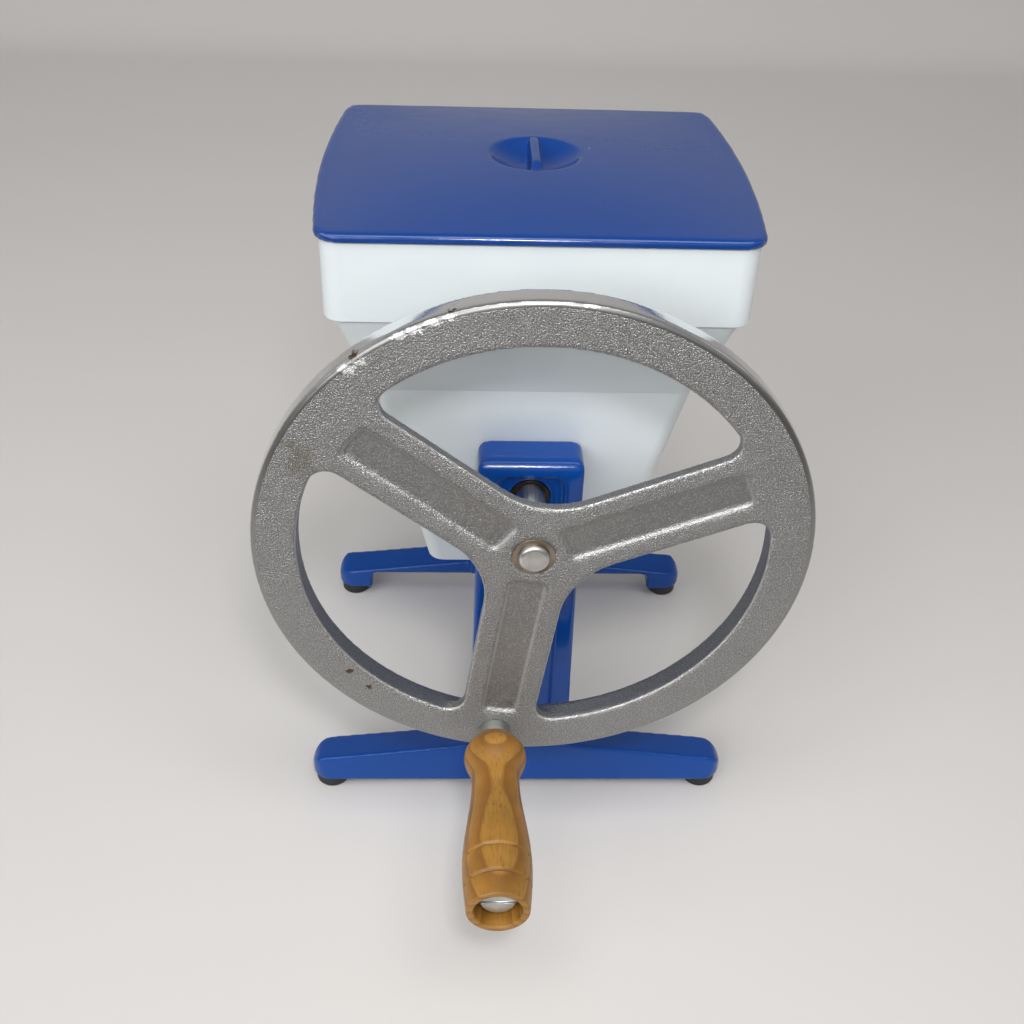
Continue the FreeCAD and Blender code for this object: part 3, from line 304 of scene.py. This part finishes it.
def mix_colours(tree, factor, first, second):
    """The output of a colour mix between first and second."""
    mix = add_node(tree, "Mix", {0: factor, 6: first, 7: second}, data_type="RGBA")
    return mix.outputs[2]


film = make_film_group()


def make_enamel(name, deep, bright, roughness, speck_amount, gloss):
    """Glossy coloured coating on metal or plastic with clouds, dust and fine dimples."""
    material, tree, shader = start_material(name, Specular_IOR_Level=gloss)
    place = add_node(tree, "TexCoord").outputs["Object"]
    surface = use_group(tree, film, {"Vector": place, "Speck Amount": speck_amount})
    colour = mix_colours(tree, surface.outputs["Cloud"], deep, bright)
    dusted = mix_colours(tree, surface.outputs["Specks"], colour, (0.45, 0.52, 0.62, 1))
    tree.links.new(dusted, shader.inputs["Base Color"])
    rough = add_node(
        tree, "MapRange",
        {"Value": surface.outputs["Smudge"], "To Min": roughness, "To Max": roughness + 0.16},
    )
    tree.links.new(rough.outputs["Result"], shader.inputs["Roughness"])
    add_bump(tree, shader, surface.outputs["Dimples"], 0.35, 0.00012)
    return material


def flowed(name, voxel, passes):
    """A copy of a CAD node under a flowing coat: every edge rounded, every corner filled."""
    bm = bmesh.new()
    bm.from_mesh(frame["nodes"][name].data)
    bmesh.ops.remove_doubles(bm, verts=bm.verts, dist=1e-6)
    piece = add_object(name + "_flowed", bm)
    skin = piece.modifiers.new("skin", "REMESH")
    skin.mode = "VOXEL"
    skin.voxel_size = voxel
    skin.use_smooth_shade = True
    flow = piece.modifiers.new("flow", "SMOOTH")
    flow.factor = 0.5
    flow.iterations = passes
    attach(piece, frame["nodes"][name]["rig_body"])
    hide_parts(name)
    return piece


frame_enamel = make_enamel(
    "frame_blue_enamel", (0.001, 0.052, 0.27, 1), (0.002, 0.064, 0.34, 1), 0.12, 0.01, 0.36
)
casting_voxel = 0.0011
for name in ("front_stand", "rear_stand"):
    piece = flowed(name, casting_voxel, 10)
    piece.data.materials.append(frame_enamel)


# Feet
# Four black rubber feet, moulded with a recess below, where a screw holds each one up against
# its boss on the stand.
def softened(name, width, segments=2, sharp=28.0):
    """A copy of a CAD node with its outer edges rounded."""
    bm = bmesh.new()
    bm.from_mesh(frame["nodes"][name].data)
    bmesh.ops.remove_doubles(bm, verts=bm.verts, dist=1e-6)
    bmesh.ops.dissolve_limit(
        bm, angle_limit=math.radians(0.6), verts=bm.verts, edges=bm.edges
    )
    bmesh.ops.recalc_face_normals(bm, faces=bm.faces)
    edges = [
        e for e in bm.edges
        if e.is_convex and e.calc_face_angle() > math.radians(sharp)
    ]
    bmesh.ops.bevel(
        bm, geom=edges, offset=width, offset_type="OFFSET", segments=segments, profile=0.5,
        affect="EDGES", clamp_overlap=True, material=-1,
    )
    bmesh.ops.recalc_face_normals(bm, faces=bm.faces)
    for face in bm.faces:
        face.smooth = True
    piece = add_object(name + "_soft", bm)
    weighted = piece.modifiers.new("weighted", "WEIGHTED_NORMAL")
    weighted.keep_sharp = True
    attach(piece, frame["nodes"][name]["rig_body"])
    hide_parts(name)
    return piece


def make_rubber():
    """Matt black rubber with moulding grain and dust on its flanks."""
    material, tree, shader = start_material("black_rubber", Roughness=0.62)
    place = add_node(tree, "TexCoord").outputs["Object"]
    surface = use_group(tree, film, {"Vector": place, "Speck Amount": 0.06})
    colour = mix_colours(
        tree, surface.outputs["Smudge"], (0.012, 0.012, 0.013, 1), (0.035, 0.034, 0.033, 1)
    )
    tree.links.new(colour, shader.inputs["Base Color"])
    add_bump(tree, shader, surface.outputs["Dimples"], 0.5, 0.0001)
    return material


rubber = make_rubber()
moulded_edge = 0.0006
for name in ("front_left_foot", "front_right_foot", "rear_left_foot", "rear_right_foot"):
    piece = softened(name, moulded_edge)
    piece.data.materials.append(rubber)


# Screws and bolts
# Bought zinc plated fasteners: the feet's screws, the hex bolts through the posts, and the small
# screws of combs, funnel and collar. Plating keeps the lines of the turned heads.
def make_turned_group():
    """Fine machining lines and stains for bare metal."""
    group, start, end = new_group(
        "turned_metal",
        [("Vector", "Vector", None), ("Line Scale", "Float", 900.0)],
        [("Lines", "Float"), ("Stain", "Float")],
    )
    stretched = add_node(
        group, "Mapping", {"Vector": start.outputs["Vector"], "Scale": (0.12, 1.0, 0.12)}
    )
    lines = add_node(
        group, "TexNoise",
        {
            "Vector": stretched.outputs["Vector"],
            "Scale": start.outputs["Line Scale"],
            "Detail": 3.0,
        },
    )
    group.links.new(lines.outputs["Fac"], end.inputs["Lines"])
    stain = add_node(
        group, "TexNoise", {"Vector": start.outputs["Vector"], "Scale": 90.0, "Detail": 5.0}
    )
    contrast = add_node(
        group, "MapRange", {"Value": stain.outputs["Fac"], "From Min": 0.42, "From Max": 0.70}
    )
    group.links.new(contrast.outputs["Result"], end.inputs["Stain"])
    return group


turned = make_turned_group()


def make_bare_metal(name, clean, stained, roughness):
    """Bare or plated metal with machining lines and light stains."""
    material, tree, shader = start_material(name, Metallic=1.0)
    place = add_node(tree, "TexCoord").outputs["Object"]
    surface = use_group(tree, turned, {"Vector": place})
    colour = mix_colours(tree, surface.outputs["Stain"], clean, stained)
    tree.links.new(colour, shader.inputs["Base Color"])
    rough = add_node(
        tree, "MapRange",
        {"Value": surface.outputs["Stain"], "To Min": roughness, "To Max": roughness + 0.2},
    )
    tree.links.new(rough.outputs["Result"], shader.inputs["Roughness"])
    add_bump(tree, shader, surface.outputs["Lines"], 0.3, 0.00004)
    return material


zinc = make_bare_metal("zinc_plate", (0.58, 0.60, 0.58, 1), (0.42, 0.43, 0.40, 1), 0.3)
turned_edge = 0.0003


def dress(finish, *names):
    """The CAD nodes of those names with broken edges and one finish."""
    for name in names:
        piece = softened(name, turned_edge)
        piece.data.materials.append(finish)


dress(zinc, "foot_screws", "frame_bolts", "comb_screws", "funnel_screws", "collar_screws")


# Bearing bushes
# Two plain bronze bushes pressed into the posts' bearing blocks. Their near-black colour is painted
# shade for the dark ring round the shaft in each hole.
bronze = make_bare_metal("bronze_painted_shade", (0.075, 0.062, 0.048, 1), (0.03, 0.026, 0.022, 1), 0.42)
dress(bronze, "front_bearing_bush", "rear_bearing_bush")


# Crusher housing and hopper
# The tapered rotor housing, the funnel on it and the upright collar round the mouth are coated
# in a cool white, with faint grey dirt where hands and ice have rubbed.
def make_white(name, roughness):
    """Cool white coating with soft dirt and a fine surface ripple."""
    material, tree, shader = start_material(name, Coat_Weight=0.2, Coat_Roughness=0.15)
    place = add_node(tree, "TexCoord").outputs["Object"]
    surface = use_group(
        tree, film, {"Vector": place, "Speck Amount": 0.012, "Dimple Scale": 180.0}
    )
    colour = mix_colours(
        tree, surface.outputs["Smudge"], (0.76, 0.82, 0.84, 1), (0.73, 0.79, 0.815, 1)
    )
    dusted = mix_colours(tree, surface.outputs["Specks"], colour, (0.35, 0.36, 0.36, 1))
    tree.links.new(dusted, shader.inputs["Base Color"])
    rough = add_node(
        tree, "MapRange",
        {"Value": surface.outputs["Cloud"], "To Min": roughness, "To Max": roughness + 0.15},
    )
    tree.links.new(rough.outputs["Result"], shader.inputs["Roughness"])
    add_bump(tree, shader, surface.outputs["Dimples"], 0.3, 0.00012)
    return material


white = make_white("hopper_white", 0.3)
for name in ("crusher_housing", "hopper_funnel", "hopper_collar"):
    piece = softened(name, moulded_edge)
    piece.data.materials.append(white)


# Breaker combs
# Two toothed steel combs on the housing's side walls, between whose teeth the blades pass.
steel = make_bare_metal("bright_steel", (0.62, 0.61, 0.59, 1), (0.46, 0.44, 0.41, 1), 0.32)
dress(steel, "left_breaker_comb", "right_breaker_comb")


# Shaft and rotor
# A turned steel shaft with a hexagon that carries six toothed blades and seven spacers. Washers
# at both ends and a spring ring behind the rear post keep it in place.
dress(steel, "crank_shaft")
dress(steel, *("crushing_blade_%d" % (i + 1) for i in range(6)))
dress(steel, *("blade_spacer_%d" % (i + 1) for i in range(7)))
dress(zinc, "front_thrust_washer", "rear_thrust_washer", "shaft_end_washer", "retaining_ring")


# Flywheel
# A sand-cast wheel with a plated skin: the faces keep the sand's grain with a painted sparkle on
# its high points, the rim's tread is polished to a mirror, edges carry a painted highlight and some
# wear, and rust shows at a few chips.
def make_cast_group():
    """Sand-cast grain: a pebbled height, and a painted sparkle that lightens its high points."""
    group, start, end = new_group(
        "cast_grain",
        [("Vector", "Vector", None), ("Grain Scale", "Float", 1500.0)],
        [("Height", "Float"), ("Painted Sparkle", "Float"), ("Tone", "Float")],
    )
    place = start.outputs["Vector"]
    fine = add_node(
        group, "TexNoise",
        {"Vector": place, "Scale": start.outputs["Grain Scale"], "Detail": 2.0, "Roughness": 0.55},
    )
    pebbles = add_node(
        group, "TexVoronoi", {"Vector": place, "Scale": start.outputs["Grain Scale"]},
        feature="SMOOTH_F1",
    )
    height = add_node(
        group, "Math", {0: fine.outputs["Fac"], 1: pebbles.outputs["Distance"]},
        operation="SUBTRACT",
    )
    group.links.new(height.outputs[0], end.inputs["Height"])
    # Painted highlight: the grain's high points, to be lightened in the base colour as a glint.
    painted_sparkle = add_node(
        group, "MapRange", {"Value": fine.outputs["Fac"], "From Min": 0.50, "From Max": 0.66}
    )
    group.links.new(painted_sparkle.outputs["Result"], end.inputs["Painted Sparkle"])
    tone = add_node(group, "TexNoise", {"Vector": place, "Scale": 30.0, "Detail": 4.0})
    group.links.new(tone.outputs["Fac"], end.inputs["Tone"])
    return group


cast = make_cast_group()
axis_z = (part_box("crank_shaft")[0].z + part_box("crank_shaft")[1].z) / 2
wheel_radius = (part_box("flywheel")[1].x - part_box("flywheel")[0].x) / 2
chamfer_start = wheel_radius - 0.0026
polish_start = wheel_radius - 0.0030
tread_start = wheel_radius - 0.0008
tread_full = wheel_radius - 0.0003
wheel_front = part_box("flywheel")[0].y


def make_mark_group():
    """A ragged spot: one inside an ellipse round Centre, whose edge is broken up by noise."""
    group, start, end = new_group(
        "ragged_mark",
        [("Vector", "Vector", None), ("Centre", "Vector", None), ("Reach", "Vector", None)],
        [("Mask", "Float")],
    )
    off = add_node(
        group, "VectorMath", {0: start.outputs["Vector"], 1: start.outputs["Centre"]},
        operation="SUBTRACT",
    )
    scaled = add_node(
        group, "VectorMath", {0: off.outputs[0], 1: start.outputs["Reach"]}, operation="DIVIDE"
    )
    distance = add_node(group, "VectorMath", {0: scaled.outputs[0]}, operation="LENGTH")
    ragged = add_node(
        group, "TexNoise", {"Vector": start.outputs["Vector"], "Scale": 620.0, "Detail": 3.0}
    )
    uneven = add_node(
        group, "MapRange", {"Value": ragged.outputs["Fac"], "From Min": 0.3, "From Max": 0.7,
                            "To Min": -0.5, "To Max": 0.7}
    )
    reach = add_node(
        group, "Math", {0: distance.outputs["Value"], 1: uneven.outputs["Result"]}, operation="ADD"
    )
    mask = add_node(
        group, "MapRange", {"Value": reach.outputs[0], "From Min": 0.8, "From Max": 1.1,
                            "To Min": 1.0, "To Max": 0.0}
    )
    group.links.new(mask.outputs["Result"], end.inputs["Mask"])
    return group


ragged_mark = make_mark_group()
material, tree, shader = start_material("plated_casting", Metallic=0.95)
place = add_node(tree, "TexCoord").outputs["Object"]
surface = use_group(tree, cast, {"Vector": place})
mark_depth = 0.006


def marks(strength, spots):
    """The joined mask of marks on the wheel's face, each an x, a z and its reach along both."""
    joined = 0.0
    for x, z, reach_x, reach_z in spots:
        spot = use_group(
            tree, ragged_mark,
            {
                "Vector": place,
                "Centre": (x, wheel_front, z),
                "Reach": (reach_x, mark_depth, reach_z),
            },
        )
        joined = add_node(
            tree, "Math", {0: joined, 1: spot.outputs["Mask"]}, operation="MAXIMUM"
        ).outputs[0]
    return add_node(tree, "Math", {0: joined, 1: strength}, operation="MULTIPLY").outputs[0]


# The polish follows the distance from the wheel's axis: face, chamfer, tread.
from_axis = add_node(
    tree, "VectorMath", {0: place, 1: (0, 0, axis_z)}, operation="SUBTRACT"
)
flat = add_node(
    tree, "VectorMath", {0: from_axis.outputs[0], 1: (1, 0, 1)}, operation="MULTIPLY"
)
radius = add_node(tree, "VectorMath", {0: flat.outputs[0]}, operation="LENGTH").outputs["Value"]
polished = add_node(
    tree, "MapRange",
    {"Value": radius, "From Min": polish_start - 0.0002, "From Max": polish_start + 0.0002},
).outputs["Result"]

# Edges are painted brighter where the surface turns away from the wheel's plane: a painted
# highlight for the light the rounded edges catch, with some worn plating too.
facing = add_node(tree, "TexCoord").outputs["Normal"]
facing_front = add_node(tree, "SeparateXYZ", {"Vector": facing}).outputs["Y"]
level = add_node(tree, "Math", {0: facing_front}, operation="ABSOLUTE")
rounded = add_node(tree, "ValToRGB", {"Fac": level.outputs[0]})
rounded.color_ramp.elements[0].position = 0.25
rounded.color_ramp.elements[0].color = (0, 0, 0, 1)
rounded.color_ramp.elements[1].position = 0.91
rounded.color_ramp.elements[1].color = (0, 0, 0, 1)
highlight_crest = rounded.color_ramp.elements.new(0.62)
highlight_crest.color = (1, 1, 1, 1)
inner = add_node(
    tree, "MapRange",
    {"Value": radius, "From Min": chamfer_start - 0.001, "From Max": chamfer_start,
     "To Min": 1.0, "To Max": 0.12},
).outputs["Result"]
edge = add_node(
    tree, "Math", {0: rounded.outputs["Color"], 1: inner}, operation="MULTIPLY"
).outputs[0]

# The spokes' pockets, a little behind the face, keep less of the painted sparkle and a shallower
# grain.
depth = add_node(tree, "SeparateXYZ", {"Vector": place}).outputs["Y"]
open_face = add_node(
    tree, "MapRange",
    {"Value": depth, "From Min": wheel_front + 0.0004, "From Max": wheel_front + 0.0009,
     "To Min": 1.0, "To Max": 0.6},
).outputs["Result"]
base = mix_colours(
    tree, surface.outputs["Tone"], (0.25, 0.249, 0.246, 1), (0.31, 0.309, 0.305, 1)
)
# Painted highlight: the grain's high points are lightened towards a pale grey as a painted sparkle.
painted_sparkle = add_node(
    tree, "Math", {0: surface.outputs["Painted Sparkle"], 1: open_face}, operation="MULTIPLY"
)
with_painted_sparkle = mix_colours(tree, painted_sparkle.outputs[0], base, (0.58, 0.575, 0.57, 1))
# Painted highlight on the rounded edges, partly worn plating, mixed into the base colour.
edge_highlight_and_wear = mix_colours(tree, edge, with_painted_sparkle, (0.66, 0.655, 0.65, 1))
tread = add_node(
    tree, "MapRange",
    {"Value": radius, "From Min": tread_start, "From Max": tread_full},
).outputs["Result"]
rim_skin = mix_colours(tree, tread, (0.30, 0.298, 0.292, 1), (0.82, 0.825, 0.83, 1))
mirror = mix_colours(tree, polished, edge_highlight_and_wear, rim_skin)

chips = (
    (-0.0640, 0.3402, 0.0042, 0.0018),
    (-0.0575, 0.3433, 0.0046, 0.0020),
    (-0.0490, 0.3468, 0.0044, 0.0016),
    (-0.0415, 0.3494, 0.0030, 0.0016),
    (-0.0870, 0.3235, 0.0042, 0.0024),
    (-0.0815, 0.3275, 0.0034, 0.0020),
    (-0.1240, 0.2850, 0.0012, 0.0040),
    (0.0200, 0.3560, 0.0040, 0.0012),
)
stains = ((-0.1156, 0.2839, 0.004, 0.003), (-0.1110, 0.2745, 0.007, 0.009))
rust_spots = (
    (-0.0845, 0.3295, 0.0030, 0.0022),
    (-0.0951, 0.1391, 0.0024, 0.0018),
    (-0.0855, 0.1271, 0.0020, 0.0016),
    (-0.0741, 0.1325, 0.0045, 0.0018),
    (-0.0417, 0.3524, 0.0035, 0.0012),
)
chipped = mix_colours(tree, marks(1.0, chips), mirror, (0.86, 0.87, 0.87, 1))
stained = mix_colours(tree, marks(0.4, stains), chipped, (0.17, 0.145, 0.085, 1))
rusted = mix_colours(tree, marks(0.9, rust_spots), stained, (0.085, 0.040, 0.014, 1))
tree.links.new(rusted, shader.inputs["Base Color"])
rough = add_node(tree, "MapRange", {"Value": edge, "To Min": 0.36, "To Max": 0.26})
rim_rough = add_node(tree, "MapRange", {"Value": tread, "To Min": 0.34, "To Max": 0.13})
rough_all = add_node(
    tree, "Mix", {0: polished, 2: rough.outputs["Result"], 3: rim_rough.outputs["Result"]}
)
tree.links.new(rough_all.outputs[0], shader.inputs["Roughness"])
plain = add_node(tree, "MapRange", {"Value": polished, "To Min": 1.0, "To Max": 0.03})
grain_depth = add_node(
    tree, "Math", {0: plain.outputs["Result"], 1: open_face}, operation="MULTIPLY"
)
height = add_node(
    tree, "Math", {0: surface.outputs["Height"], 1: grain_depth.outputs[0]},
    operation="MULTIPLY",
)
add_bump(tree, shader, height.outputs[0], 1.0, 0.0006)
wheel = flowed("flywheel", casting_voxel, 8)
wheel.data.materials.append(material)


# Hub washer, key and set screw
# The key and set screw drive the shaft from the wheel. The washer in the wheel's counterbore has
# aged to a brownish ring.
aged_ring = make_bare_metal("aged_ring", (0.34, 0.29, 0.23, 1), (0.20, 0.16, 0.12, 1), 0.34)
dress(aged_ring, "hub_washer")
dress(zinc, "hub_key", "hub_set_screw")


# Handle spindle
# A plated spindle goes through the grip and the spacer into the wheel's rim, where a lock nut
# holds it from behind.
dress(zinc, "handle_spacer", "handle_spindle", "handle_lock_nut")


# Handle grip
# A turned hardwood grip, varnished amber, that spins on the spindle. It has a bulb at the wheel,
# a neck, a long swell with two turned grooves, and a counterbore for the spindle's head.
material, tree, shader = start_material(
    "varnished_ash", Coat_Weight=0.15, Coat_Roughness=0.16, Roughness=0.5
)
spindle_low, spindle_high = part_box("handle_spindle")
pith = Vector(((spindle_low.x + spindle_high.x) / 2 + 0.003, 0, spindle_low.z - 0.045))
place = add_node(tree, "TexCoord").outputs["Object"]
shifted = add_node(tree, "VectorMath", {0: place, 1: pith}, operation="SUBTRACT").outputs[0]
tilted = add_node(
    tree, "Mapping", {"Vector": shifted, "Rotation": (math.radians(3.5), 0, math.radians(1.5))}
).outputs["Vector"]
rings = add_node(
    tree, "TexWave",
    {"Vector": tilted, "Scale": 62.0, "Distortion": 2.6, "Detail": 2.0, "Detail Scale": 0.35,
     "Detail Roughness": 0.45},
    wave_type="RINGS", rings_direction="Y", wave_profile="SAW",
)
along = add_node(tree, "Mapping", {"Vector": place, "Scale": (1.0, 0.07, 1.0)}).outputs["Vector"]
fibres = add_node(tree, "TexNoise", {"Vector": along, "Scale": 1500.0, "Detail": 3.0})
cloud = add_node(tree, "TexNoise", {"Vector": place, "Scale": 60.0, "Detail": 3.0})
grain = add_node(tree, "ValToRGB", {"Fac": rings.outputs["Fac"]})
grain.color_ramp.elements[0].color = (0.385, 0.190, 0.028, 1)
grain.color_ramp.elements[0].position = 0.0
grain.color_ramp.elements[1].color = (0.235, 0.092, 0.010, 1)
grain.color_ramp.elements[1].position = 0.93
middle = grain.color_ramp.elements.new(0.55)
middle.color = (0.33, 0.150, 0.018, 1)
after = grain.color_ramp.elements.new(1.0)
after.color = (0.35, 0.165, 0.022, 1)
pores = add_node(
    tree, "MapRange", {"Value": fibres.outputs["Fac"], "From Min": 0.36, "From Max": 0.47}
)
porous = mix_colours(
    tree, pores.outputs["Result"], (0.26, 0.12, 0.02, 1), grain.outputs["Color"]
)
shade = add_node(
    tree, "MapRange", {"Value": cloud.outputs["Fac"], "From Min": 0.3, "From Max": 0.7,
                       "To Min": 0.82, "To Max": 1.15}
)
toned = add_node(tree, "VectorMath", {0: porous, 3: shade.outputs["Result"]}, operation="SCALE")
tree.links.new(toned.outputs[0], shader.inputs["Base Color"])
add_bump(tree, shader, fibres.outputs["Fac"], 0.2, 0.00008)
spacer_low, spacer_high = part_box("handle_spacer")
grip_low, grip_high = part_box("handle_grip")
grip_x = (spacer_low.x + spacer_high.x) / 2
grip_z = (spacer_low.z + spacer_high.z) / 2
grip_start_y = grip_high.y
grip_length = grip_high.y - grip_low.y
bulb_place, bulb_radius = 0.012, 0.0170
neck_place, neck_radius = 0.028, 0.0127
swell_place, swell_radius = 0.083, 0.0176
start_radius = 0.0108
end_radius = 0.0156
groove_places = (0.081, 0.096)
groove_depth = 0.0011
groove_half_width = 0.0012
spindle_bore = 0.0053
counterbore_radius = 0.012
counterbore_depth = 0.010
lip_rounding = 0.0006


def grip_radius(along):
    """Outer radius at a distance from the wheel's end: bulb, neck, swell, and two grooves."""
    if along < bulb_place:
        rise = math.sin(math.pi / 2 * along / bulb_place)
        radius = start_radius + (bulb_radius - start_radius) * rise
    elif along < neck_place:
        turn = math.pi * (along - bulb_place) / (neck_place - bulb_place)
        radius = neck_radius + (bulb_radius - neck_radius) * (1 + math.cos(turn)) / 2
    elif along < swell_place:
        turn = math.pi * (along - neck_place) / (swell_place - neck_place)
        radius = swell_radius - (swell_radius - neck_radius) * (1 + math.cos(turn)) / 2
    else:
        turn = math.pi / 2 * (along - swell_place) / (grip_length - swell_place)
        radius = end_radius + (swell_radius - end_radius) * math.cos(turn)
    cut = max(1 - abs(along - groove) / groove_half_width for groove in groove_places)
    return radius - groove_depth * max(0.0, cut)


steps = 180
turns = 72
crease = math.radians(35)
stations = [grip_length * i / steps for i in range(steps)]
outline = [(along, grip_radius(along)) for along in stations]
outline += [
    (grip_length - lip_rounding, grip_radius(grip_length)),
    (grip_length, grip_radius(grip_length) - lip_rounding),
    (grip_length, counterbore_radius + lip_rounding),
    (grip_length - lip_rounding, counterbore_radius),
    (grip_length - counterbore_depth, counterbore_radius),
    (grip_length - counterbore_depth, spindle_bore),
    (0.0, spindle_bore),
]
bm = bmesh.new()
ring = [bm.verts.new((grip_x, grip_start_y - along, grip_z + radius)) for along, radius in outline]
edges = [bm.edges.new(pair) for pair in zip(ring, ring[1:] + ring[:1])]
bmesh.ops.spin(
    bm, geom=ring + edges, cent=(grip_x, 0, grip_z), axis=(0, 1, 0), angle=2 * math.pi,
    steps=turns, use_merge=True,
)
bmesh.ops.remove_doubles(bm, verts=bm.verts, dist=1e-6)
bmesh.ops.recalc_face_normals(bm, faces=bm.faces)
for face in bm.faces:
    face.smooth = True
for edge in bm.edges:
    if edge.calc_face_angle() > crease:
        edge.smooth = False
grip = add_object("handle_grip_turned", bm)
grip.data.materials.append(material)
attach(grip, frame["nodes"]["handle_grip"]["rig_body"])
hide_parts("handle_grip")


# Lid
# A lift-off moulded lid in the frame's blue, slightly crowned, with a rolled edge and a round
# finger dish with a fin across it.
lid_enamel = make_enamel(
    "lid_blue_enamel", (0.003, 0.042, 0.225, 1), (0.005, 0.050, 0.250, 1), 0.10, 0.03, 0.62
)
lid_voxel = 0.00115
lid = flowed("hopper_lid", lid_voxel, 8)
lid.data.materials.append(lid_enamel)
